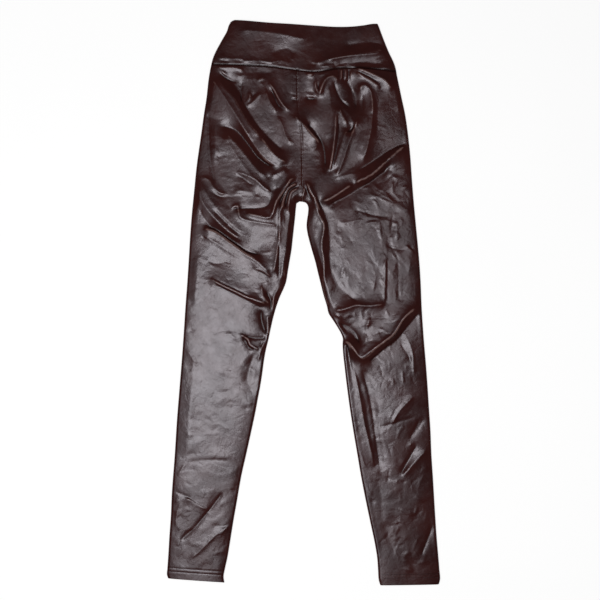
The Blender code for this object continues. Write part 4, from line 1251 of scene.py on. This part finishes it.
def mark_ridges(piece: bpy.types.Object, ridges: Relief, net: Array) -> None:
    """Writes how much each corner of a wall's outer face stands out of its surroundings.

    Beside the waistband's seam it is lowered by a bell, depth times exp(-(distance / width)^2), as painted
    shade.
    The coated finish paints a highlight where this value is high and shade where it is low.

    Args:
        piece: a wall, whose first corners are those of its outer face.
        ridges: map of what stands out, mm.
        net: plan net of that face.
    """
    plan = net.reshape(-1, 2)
    share = np.zeros(len(piece.data.vertices), np.float32)
    depth, width = CLOTH.seam_shade
    off = plan[:, 1] - PLAN.seam_down(plan[:, 0])
    share[:len(plan)] = ridges.at(plan)
    # painted shade beside the waistband's seam
    share[:len(plan)] -= depth * np.exp(-(off / width) ** 2)
    piece.data.attributes.new("ridge", "FLOAT", "POINT").data.foreach_set("value", share)


def rim_ring(at: Array) -> Array:
    """Corner numbers round the rim of a grid, from its first corner down the first column."""
    return np.concatenate([at[:, 0], at[-1, 1:], at[-2::-1, -1], at[0, -2:0:-1]])


# ------------------------------------------------------------------------------------------ finishes
class Bump(NamedTuple):
    """Small unevenness of a surface: lumps a metre, depth in metres, and how much of it shows."""

    scale: float
    depth: float
    strength: float


class NodeKit:
    """Small helper that adds and joins shader nodes of one material."""

    def __init__(self, name: str) -> None:
        """Starts a material with its Principled shader."""
        self.material = bpy.data.materials.new(name)
        self.material.use_nodes = True
        self.tree = self.material.node_tree
        self.shader = self.tree.nodes["Principled BSDF"]
        self.place = self.tree.nodes.new("ShaderNodeTexCoord").outputs["Object"]

    def noise(self, scale: float, detail: float, rough: float = 0.5, distortion: float = 0.0
              ) -> bpy.types.NodeSocket:
        """Noise on the object's own coordinates, `scale` lumps a metre.

        Args:
            scale: lumps in a metre.
            detail: octaves.
            rough: how strong the finer octaves are.
            distortion: how much the lumps are pulled about.

        Returns:
            The noise value.
        """
        node = self.tree.nodes.new("ShaderNodeTexNoise")
        node.inputs["Scale"].default_value = scale
        node.inputs["Detail"].default_value = detail
        node.inputs["Roughness"].default_value = rough
        node.inputs["Distortion"].default_value = distortion
        self.tree.links.new(self.place, node.inputs["Vector"])
        return node.outputs["Fac"]

    def crackle(self, scale: float, waver: float) -> bpy.types.NodeSocket:
        """Net of fine wavering creases: 0 on them, rising to 1 between.

        Args:
            scale: meshes of the net in a metre.
            waver: how far the creases are pulled about, metres.

        Returns:
            The height, 0 to 1.
        """
        pull = self.tree.nodes.new("ShaderNodeVectorMath")
        pull.operation = "MULTIPLY_ADD"
        pull.inputs[1].default_value = (waver, waver, waver)
        wave = self.tree.nodes.new("ShaderNodeTexNoise")
        wave.inputs["Scale"].default_value = scale * 0.8
        wave.inputs["Detail"].default_value = 3.0
        self.tree.links.new(self.place, wave.inputs["Vector"])
        self.tree.links.new(wave.outputs["Color"], pull.inputs[0])
        self.tree.links.new(self.place, pull.inputs[2])
        net = self.tree.nodes.new("ShaderNodeTexVoronoi")
        net.feature = "DISTANCE_TO_EDGE"
        net.inputs["Scale"].default_value = scale
        self.tree.links.new(pull.outputs["Vector"], net.inputs["Vector"])
        return self.spread(net.outputs["Distance"], 0.0, 1.0, (0.0, 0.22))

    def spread(self, value: bpy.types.NodeSocket, low: float, high: float,
               run: tuple[float, float] = (0.3, 0.7)) -> bpy.types.NodeSocket:
        """Maps a run of values, at first the usual one of a noise, to low and high."""
        node = self.tree.nodes.new("ShaderNodeMapRange")
        node.interpolation_type = "SMOOTHSTEP"
        for name, number in (("From Min", run[0]), ("From Max", run[1]), ("To Min", low), ("To Max", high)):
            node.inputs[name].default_value = number
        self.tree.links.new(value, node.inputs["Value"])
        return node.outputs["Result"]

    def between(self, share: bpy.types.NodeSocket, one: Sequence[float] | bpy.types.NodeSocket,
                two: Sequence[float]) -> bpy.types.NodeSocket:
        """Colour between two, by a share. The first one may come from another node."""
        node = self.tree.nodes.new("ShaderNodeMix")
        node.data_type = "RGBA"
        if isinstance(one, bpy.types.NodeSocket):
            self.tree.links.new(one, node.inputs["A"])
        else:
            node.inputs["A"].default_value = (*one, 1.0)
        node.inputs["B"].default_value = (*two, 1.0)
        self.tree.links.new(share, node.inputs["Factor"])
        return node.outputs["Result"]

    def mark(self, name: str) -> bpy.types.NodeSocket:
        """Value that the mesh carries at each corner under that name."""
        node = self.tree.nodes.new("ShaderNodeAttribute")
        node.attribute_name = name
        return node.outputs["Fac"]

    def bump(self, height: bpy.types.NodeSocket, size: Bump,
             under: bpy.types.NodeSocket | None = None) -> bpy.types.NodeSocket:
        """Bump of a height, on top of another bump.

        Args:
            height: the height, 0 to 1.
            size: its depth, and how much it shows.
            under: normal from the bump below it.

        Returns:
            The new normal.
        """
        node = self.tree.nodes.new("ShaderNodeBump")
        node.inputs["Distance"].default_value = size.depth
        node.inputs["Strength"].default_value = size.strength
        self.tree.links.new(height, node.inputs["Height"])
        if under is not None:
            self.tree.links.new(under, node.inputs["Normal"])
        return node.outputs["Normal"]

    def join(self, value: bpy.types.NodeSocket, socket: str) -> None:
        """Joins a value to one of the shader's sockets."""
        self.tree.links.new(value, self.shader.inputs[socket])


@dataclass(frozen=True)
class CoatedFinish:
    """Outside of the cloth: a brown polyurethane coat with a fine grain over a stretch knit."""

    dark: tuple[float, float, float] = (0.040, 0.0062, 0.0044)
    light: tuple[float, float, float] = (0.060, 0.0104, 0.0076)
    painted_crest_highlight: tuple[float, float, float] = (0.24, 0.135, 0.12)     # painted highlight, lighter where a crest stands out
    painted_crease_shade: tuple[float, float, float] = (0.024, 0.0040, 0.0030)    # painted shade down in a crease
    patches: float = 22.0           # patches of colour a metre
    smooth: float = 0.20            # roughness where the coat is smoothest, and where it is roughest
    rough: float = 0.28
    wear: float = 70.0              # patches of roughness a metre
    sheen: tuple[float, float] = (0.25, 0.5)    # level of reflection down in a crease, lowered there as painted shade, and elsewhere
    sheen_tint: tuple[float, float, float] = (0.95, 0.92, 1.0)
    grain: Bump = Bump(620.0, 0.00006, 0.5)
    crumple: Bump = Bump(95.0, 0.0005, 0.35)    # small soft lumps
    crease: Bump = Bump(70.0, 0.00007, 0.6)     # the net of fine creases
    waver: float = 0.012            # how far that net is pulled about, metres
    gloss: float = 0.12             # weight of the clear top of the coat
    gloss_rough: float = 0.13
    crest_run: tuple[float, float] = (0.07, 0.26)       # how far a crest stands out, mm: the run over which the painted highlight grows in
    # how far a crease sinks in, mm: the run over which the painted shade grows in
    hollow_run: tuple[float, float] = (-0.22, -0.04)

    def material(self) -> bpy.types.Material:
        """The shader: colour and roughness vary in soft patches, a painted highlight lies on the crests and
        painted shade in the creases, and three bumps lie on each other.
        """
        kit = NodeKit("coated_cloth")
        ridge = kit.mark("ridge")
        colour = kit.between(kit.spread(kit.noise(self.patches, 4.0), 0.0, 1.0), self.dark, self.light)
        # painted highlight: a lighter colour where the cloth stands out in a crest
        colour = kit.between(kit.spread(ridge, 0.0, 1.0, self.crest_run), colour, self.painted_crest_highlight)
        # painted shade: a darker colour down in a crease
        colour = kit.between(kit.spread(ridge, 1.0, 0.0, self.hollow_run), colour, self.painted_crease_shade)
        kit.join(colour, "Base Color")
        # painted shade: less reflection down in a crease
        kit.join(kit.spread(ridge, *self.sheen, self.hollow_run), "Specular IOR Level")
        kit.join(kit.spread(kit.noise(self.wear, 5.0, 0.65), self.smooth, self.rough), "Roughness")
        soft = kit.bump(kit.noise(self.crumple.scale, 3.0, 0.45, 0.4), self.crumple)
        fine = kit.bump(kit.crackle(self.crease.scale, self.waver), self.crease, soft)
        kit.join(kit.bump(kit.noise(self.grain.scale, 2.0, 0.5), self.grain, fine), "Normal")
        kit.join(fine, "Coat Normal")
        kit.shader.inputs["Coat Weight"].default_value = self.gloss
        kit.shader.inputs["Coat Roughness"].default_value = self.gloss_rough
        kit.shader.inputs["IOR"].default_value = 1.45
        kit.shader.inputs["Specular Tint"].default_value = (*self.sheen_tint, 1.0)
        return kit.material


@dataclass(frozen=True)
class KnitFinish:
    """Inside of the cloth: the matt knit that carries the coat, with its fine courses."""

    dark: tuple[float, float, float] = (0.030, 0.016, 0.015)
    light: tuple[float, float, float] = (0.060, 0.034, 0.031)
    courses: Bump = Bump(575.0, 0.0002, 0.6)

    def material(self) -> bpy.types.Material:
        """The shader: waves for the courses, broken up by noise. The wave node has 20 radians a unit."""
        kit = NodeKit("knit_inside")
        wave = kit.tree.nodes.new("ShaderNodeTexWave")
        wave.bands_direction = "Y"
        wave.inputs["Scale"].default_value = self.courses.scale * 2 * math.pi / 20.0
        wave.inputs["Distortion"].default_value = 1.2
        wave.inputs["Detail"].default_value = 2.0
        kit.tree.links.new(kit.place, wave.inputs["Vector"])
        colour = kit.between(kit.spread(kit.noise(300.0, 3.0), 0.0, 1.0), self.dark, self.light)
        kit.join(colour, "Base Color")
        kit.join(kit.bump(wave.outputs["Fac"], self.courses), "Normal")
        kit.shader.inputs["Roughness"].default_value = 0.92
        kit.shader.inputs["Sheen Weight"].default_value = 0.3
        return kit.material


@dataclass(frozen=True)
class ThreadFinish:
    """Sewing thread: dark brown spun polyester."""

    dark: tuple[float, float, float] = (0.016, 0.007, 0.006)
    light: tuple[float, float, float] = (0.040, 0.019, 0.017)
    fibres: Bump = Bump(2600.0, 0.00008, 0.6)

    def material(self) -> bpy.types.Material:
        """The shader: fine noise breaks up the thread's colour and height."""
        kit = NodeKit("sewing_thread")
        grain = kit.noise(self.fibres.scale, 2.0)
        kit.join(kit.between(kit.spread(grain, 0.0, 1.0), self.dark, self.light), "Base Color")
        kit.join(kit.bump(grain, self.fibres), "Normal")
        kit.shader.inputs["Roughness"].default_value = 0.5
        return kit.material


@dataclass(frozen=True)
class FloorFinish:
    """Plain pale floor, lit a little from below like a light table."""

    colour: tuple[float, float, float] = (0.86, 0.86, 0.86)
    uneven: float = 0.985           # its darker patches against the colour
    glow: float = 0.62

    def material(self) -> bpy.types.Material:
        """The shader: matt, with a trace of unevenness."""
        kit = NodeKit("pale_floor")
        low = tuple(c * self.uneven for c in self.colour)
        kit.join(kit.between(kit.spread(kit.noise(3.0, 2.0), 0.0, 1.0), low, self.colour), "Base Color")
        kit.shader.inputs["Roughness"].default_value = 0.9
        kit.shader.inputs["Emission Color"].default_value = (1.0, 1.0, 1.0, 1.0)
        kit.shader.inputs["Emission Strength"].default_value = self.glow
        return kit.material


@dataclass(frozen=True)
class Finishes:
    """The materials, made once."""

    coated: bpy.types.Material
    knit: bpy.types.Material
    thread: bpy.types.Material


# ------------------------------------------------------------------------------------------ sewing
@dataclass(frozen=True)
class Topstitch:
    """Row of machine stitches that lie on the cloth, mm."""

    pitch: float = 3.0
    length: float = 2.35
    radius: float = 0.24
    sink: float = 0.10              # how far a stitch's ends go into the cloth
    ring: tuple[float, ...] = (0.0, 0.16, 0.5, 0.84, 1.0)
    girth: tuple[float, ...] = (0.55, 1.0, 1.1, 1.0, 0.55)
    sides: int = 6                  # an even number

    def arrays(self, line: Array, up: Array) -> tuple[Array, Array]:
        """Stitches along a line on the cloth.

        Each is a tube round a shallow arch: its rings stand at set shares of its length, with radius
        times girth, and are lifted by radius (1 - (2t - 1)^4) less the sink.

        Args:
            line: points on the cloth, mm.
            up: the cloth's outward normals there.

        Returns:
            Corner places in mm, and four-cornered faces.
        """
        arc = np.concatenate([[0.0], np.cumsum(np.linalg.norm(np.diff(line, axis=0), axis=1))])
        count = int((arc[-1] - self.length) / self.pitch)
        start = np.arange(count) * self.pitch + (arc[-1] - count * self.pitch) / 2
        t = np.array(self.ring)
        at = start[:, None] + t * self.length
        centre = np.stack([np.interp(at, arc, line[:, c]) for c in range(3)], 2)
        out = np.stack([np.interp(at, arc, up[:, c]) for c in range(3)], 2)
        out /= np.linalg.norm(out, axis=2, keepdims=True)
        along = centre[:, -1] - centre[:, 0]
        along /= np.linalg.norm(along, axis=1, keepdims=True)
        side = np.cross(along[:, None], out)
        rise = self.radius * (1 - (2 * t - 1) ** 4) - self.sink
        angle = np.arange(self.sides) * 2 * math.pi / self.sides
        girth = self.radius * np.array(self.girth)[None, :, None, None]
        ring = np.cos(angle)[:, None] * side[:, :, None] + np.sin(angle)[:, None] * out[:, :, None]
        verts = (centre + out * rise[None, :, None])[:, :, None] + girth * ring
        rings, n = len(t), self.sides
        k = np.arange(n)
        tube = np.concatenate([np.stack([r * n + k, r * n + (k + 1) % n, (r + 1) * n + (k + 1) % n,
                                         (r + 1) * n + k], 1) for r in range(rings - 1)])
        fan = np.array([[0, j, j + 1, j + 2] for j in range(1, n - 1, 2)])
        one = np.concatenate([tube, fan[:, ::-1], fan + (rings - 1) * n])
        faces = (one[None] + (np.arange(count) * rings * n)[:, None, None]).reshape(-1, 4)
        return verts.reshape(-1, 3), faces


def stitch_piece(name: str, rows: Sequence[tuple[Array, Array]], stitch: Topstitch,
                 finish: bpy.types.Material) -> bpy.types.Object:
    """One piece that holds several rows of stitches.

    Args:
        name: name of the piece.
        rows: for each row the points on the cloth, mm, and the normals there.
        stitch: the stitch.
        finish: its material.

    Returns:
        The object.
    """
    verts: list[Array] = []
    faces: list[Array] = []
    start = 0
    for line, up in rows:
        v, f = stitch.arrays(line, up)
        verts.append(v)
        faces.append(f + start)
        start += len(v)
    places, corners = to_frame(np.concatenate(verts)), np.concatenate(faces)
    return new_piece(name, places, corners, np.zeros(len(corners), int), (finish,), sharp=80.0)


def hem_route(net: Array, mouth: Array, distance: float, inset: float, step: float = 0.6) -> Array:
    """Line of plan points at a distance from the hem, kept in from both edges.

    Args:
        net: plan net of the panel.
        mouth: distance of each row from the hem, mm.
        distance: distance asked for.
        inset: how far the row stops from the side edges.
        step: distance between the points, mm.

    Returns:
        Plan points, from the outer edge inwards.
    """
    k = int(np.abs(mouth - distance).argmin())
    row = net[k] + (0.0, float(mouth[k]) - distance)
    arc = np.concatenate([[0.0], np.cumsum(np.hypot(*np.diff(row, axis=0).T))])
    at = np.arange(inset, arc[-1] - inset, step)
    return np.stack([np.interp(at, arc, row[:, c]) for c in (0, 1)], 1)


# ------------------------------------------------------------------------------------------ pieces
@dataclass(frozen=True)
class Cut:
    """A piece of cloth as it was cut: width and length of its rectangle, and its area, in metres."""

    flat: tuple[float, float]
    area: float


@dataclass
class LegPanels:
    """Front and back panel of one leg, with the twin topstitching of its hem."""

    side: Side
    relief: Relief
    back_relief: Relief
    steps: NetSteps = NetSteps()
    back_steps: NetSteps = NetSteps(row=4.2, column=4.2, near_mouth=1.5)
    stitch: Topstitch = Topstitch()
    stitch_rows: tuple[float, float] = (19.5, 13.2)     # distance of the hem's stitching from its edge
    stitch_inset: tuple[float, float] = (3.0, 7.0)      # where it stops beside an edge: front, back
    hem_top: float = 21.5                               # depth of the turned cloth
    front_cut: Cut = Cut((0.205, 0.935), 0.142)
    back_cut: Cut = Cut((0.200, 0.925), 0.134)

    def lines(self) -> tuple[tuple[Array, int], ...]:
        """Rolled edges of the leg. A normal points to -X where its line runs down the page."""
        sign = self.side.value
        return (PLAN.outer_line(self.side), sign), (PLAN.inner_line(self.side), -sign)

    def wall_rows(self, mouth: Array) -> Array:
        """Thickness of each row: doubled in the turned hem."""
        return np.where(mouth < self.hem_top, CLOTH.doubled, CLOTH.wall)

    def front(self, finishes: Finishes) -> tuple[bpy.types.Object, bpy.types.Object]:
        """Front panel and the stitching on it."""
        net, mouth = leg_net(self.side, self.steps, back=False)
        routes = [hem_route(net, mouth, d, self.stitch_inset[0]) for d in self.stitch_rows]
        layer = UpperLayer(self.lines(), self.relief, grooves=tuple(routes))
        skins = layer.skins(net, mouth, self.wall_rows(mouth))
        skins = Skins(keep_side(skins.outer, self.side), keep_side(skins.inner, self.side))
        panel = wall_piece(f"front_leg_{self.side.word}", skins, finishes.coated, finishes.knit)
        mark_ridges(panel, self.relief.ridges(), net)
        rows = [self.on_upper(layer, route) for route in routes]
        sewing = stitch_piece(f"hem_stitching_front_{self.side.word}", rows, self.stitch, finishes.thread)
        return panel, sewing

    def on_upper(self, layer: UpperLayer, plan: Array, step: float = 0.6) -> tuple[Array, Array]:
        """Points on the front layer along a plan line, and normals from the rise over a small step."""
        here = layer.surface(plan)
        right = layer.surface(plan + (step, 0.0))[:, 2]
        lower = layer.surface(plan + (0.0, step))[:, 2]
        up = np.stack([-(right - here[:, 2]) / step, -(lower - here[:, 2]) / step, np.ones(len(plan))], 1)
        return here, up / np.linalg.norm(up, axis=1, keepdims=True)

    def back(self, finishes: Finishes) -> tuple[bpy.types.Object, bpy.types.Object]:
        """Back panel and the stitching on its underside."""
        net, mouth = leg_net(self.side, self.back_steps, back=True)
        routes = [hem_route(net, mouth, d, self.stitch_inset[1]) for d in self.stitch_rows]
        layer = LowerLayer(self.lines(), self.back_relief, tuple(routes) + PLAN.back_seams())
        skins = layer.skins(net, mouth, self.wall_rows(mouth))
        skins = Skins(keep_side(skins.outer, self.side), keep_side(skins.inner, self.side))
        panel = wall_piece(f"back_leg_{self.side.word}", skins, finishes.coated, finishes.knit)
        rows = []
        for plan in routes:
            reach, _ = edge_reach(plan, self.lines())
            line = np.column_stack([plan, layer.lift(plan, reach)])
            rows.append((line, np.tile([0.0, 0.0, -1.0], (len(plan), 1))))
        sewing = stitch_piece(f"hem_stitching_back_{self.side.word}", rows, self.stitch, finishes.thread)
        return panel, sewing

    def build(self, finishes: Finishes) -> None:
        """Makes both panels, with their sewing, and hides the parts they replace."""
        back, back_sewing = self.back(finishes)
        front, front_sewing = self.front(finishes)
        word = self.side.word
        for piece, node in ((front, f"front_panel_{word}"), (back, f"back_panel_{word}")):
            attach(piece, "root")
            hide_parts(node)
        for sewing, node in ((front_sewing, f"front_panel_{word}"), (back_sewing, f"back_panel_{word}")):
            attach(sewing, "root")
        for piece in (back, back_sewing, front, front_sewing):
            log.info("%s: %d faces", piece.name, len(piece.data.polygons))


@dataclass
class Waistband:
    """Deep doubled waistband, front and back half."""

    relief: Relief
    back_relief: Relief
    steps: NetSteps = NetSteps(row=1.1, column=1.2, near_mouth=1.0, mouth_zone=12.0)
    back_steps: NetSteps = NetSteps(row=3.0, column=3.2, near_mouth=1.5, mouth_zone=9.0)
    front_cut: Cut = Cut((0.325, 0.094), 0.0235)
    back_cut: Cut = Cut((0.322, 0.094), 0.0230)

    def lines(self) -> tuple[tuple[Array, int], ...]:
        """Rolled side edges of the band."""
        return (PLAN.outer_line(Side.RIGHT), -1), (PLAN.outer_line(Side.LEFT), 1)

    def build(self, finishes: Finishes) -> None:
        """Makes both halves and hides the parts they replace."""
        net, mouth = band_net(self.back_steps, back=True)
        layer = LowerLayer(self.lines(), self.back_relief, PLAN.back_seams()[:1])
        skins = layer.skins(net, mouth, np.full(len(net), CLOTH.doubled))
        back = wall_piece("waistband_back_half", skins, finishes.coated, finishes.knit)
        net, mouth = band_net(self.steps, back=False)
        layer = UpperLayer(self.lines(), self.relief, proud=CLOTH.band_proud, wall=CLOTH.doubled)
        skins = layer.skins(net, mouth, np.full(len(net), CLOTH.doubled))
        front = wall_piece("waistband_front_half", skins, finishes.coated, finishes.knit)
        mark_ridges(front, self.relief.ridges(), net)
        for piece, node, cut, under in ((back, "waistband_back", self.back_cut, "floor"),
                                        (front, "waistband_front", self.front_cut, back)):
            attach(piece, "root")
            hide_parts(node)
            log.info("%s: %d faces", piece.name, len(piece.data.polygons))


# ------------------------------------------------------------------------------------------ studio
class Lamp(NamedTuple):
    """Soft box: name, place, aim, width, length (metres) and power (watts)."""

    name: str
    place: tuple[float, float, float]
    aim: tuple[float, float, float]
    width: float
    length: float
    power: float


@dataclass(frozen=True)
class Studio:
    """Camera straight above, a pale floor and soft boxes."""

    centre: tuple[float, float] = (-0.0061, 0.0046)     # what the middle of the picture shows
    height: float = 2.479
    lens: float = 85.0              # focal length, with a sensor of that width, mm
    sensor: float = 36.0
    floor_side: float = 9.0
    floor_level: float = -0.0005    # clear of the stitching on the underside
    ambient: float = 0.08
    lamps: tuple[Lamp, ...] = (
        Lamp("key_softbox", (-0.38, -0.18, 3.0), (-0.1, -0.1, 0.0), 0.7, 0.9, 19.0),
        Lamp("fill_softbox", (0.38, 0.22, 3.0), (0.1, 0.0, 0.0), 0.5, 0.72, 3.8),
        Lamp("low_softbox", (-0.42, -0.90, 3.0), (0.0, -0.1, 0.0), 0.6, 0.5, 3.6),
        Lamp("wide_softbox", (-0.72, -0.36, 3.2), (0.0, 0.0, 0.0), 2.2, 1.9, 12.0),
    )

    def camera(self) -> None:
        """Camera that looks straight down, with the waist at the top of the picture."""
        data = bpy.data.cameras.new("camera")
        data.lens = self.lens
        data.sensor_width = self.sensor
        data.clip_end = 50.0
        camera = bpy.data.objects.new("camera", data)
        camera.location = (*self.centre, self.height)
        bpy.context.scene.collection.objects.link(camera)
        bpy.context.scene.camera = camera

    def light(self, lamp: Lamp) -> None:
        """One soft box, turned to its aim."""
        data = bpy.data.lights.new(lamp.name, "AREA")
        data.shape = "RECTANGLE"
        data.size, data.size_y = lamp.width, lamp.length
        data.energy = lamp.power
        light = bpy.data.objects.new(lamp.name, data)
        light.location = lamp.place
        away = Vector(lamp.place) - Vector(lamp.aim)
        light.rotation_mode = "QUATERNION"
        light.rotation_quaternion = away.to_track_quat("Z", "Y")
        bpy.context.scene.collection.objects.link(light)

    def floor(self) -> None:
        """Square floor just under the leggings."""
        half = self.floor_side / 2
        mesh = bpy.data.meshes.new("floor")
        low = self.floor_level
        mesh.from_pydata([(-half, -half, low), (half, -half, low), (half, half, low), (-half, half, low)],
                         [], [(0, 1, 2, 3)])
        mesh.materials.append(FloorFinish().material())
        floor = bpy.data.objects.new("floor", mesh)
        bpy.context.scene.collection.objects.link(floor)

    def build(self) -> None:
        """Makes the floor, lights, surroundings and camera."""
        self.floor()
        for lamp in self.lamps:
            self.light(lamp)
        world = bpy.data.worlds.new("studio")
        world.use_nodes = True
        world.node_tree.nodes["Background"].inputs["Color"].default_value = (1.0, 1.0, 1.0, 1.0)
        world.node_tree.nodes["Background"].inputs["Strength"].default_value = self.ambient
        bpy.context.scene.world = world
        bpy.context.scene.view_settings.view_transform = "Standard"
        self.camera()
        log.info("studio: %d soft boxes", len(self.lamps))


def main() -> None:
    """Loads the frame, then builds the studio, the legs and the waistband in order."""
    logging.basicConfig(level=logging.INFO, format="%(name)s: %(message)s")
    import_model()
    Studio().build()
    finishes = Finishes(CoatedFinish().material(), KnitFinish().material(), ThreadFinish().material())
    relief = (Relief().add(Relief(2.0).stretch(FOLDS, span=24.0, soft=1.0, rounds=400))
              .stretch(pinched(FOLDS), span=3.0, soft=0.6, rounds=60)
              .stretch(CREASES, span=7.0, soft=0.8, scale=0.45, rounds=160)
              .stretch(CREASES, span=2.4, soft=0.55, scale=0.5, rounds=50)
              .stretch(SOFT + crumpled(WAVES, seed=5), span=10.0, soft=2.5, rounds=200)
              .stretch(crumpled(CRUMPLES), span=2.4, soft=0.55, scale=0.9, rounds=50))
    back_relief = Relief(3.0).stretch(BACK_FOLDS, span=9.0, soft=3.0)
    for side in Side:
        LegPanels(side, relief, back_relief).build(finishes)
    Waistband(relief, back_relief).build(finishes)


if __name__ == "__main__":
    main()
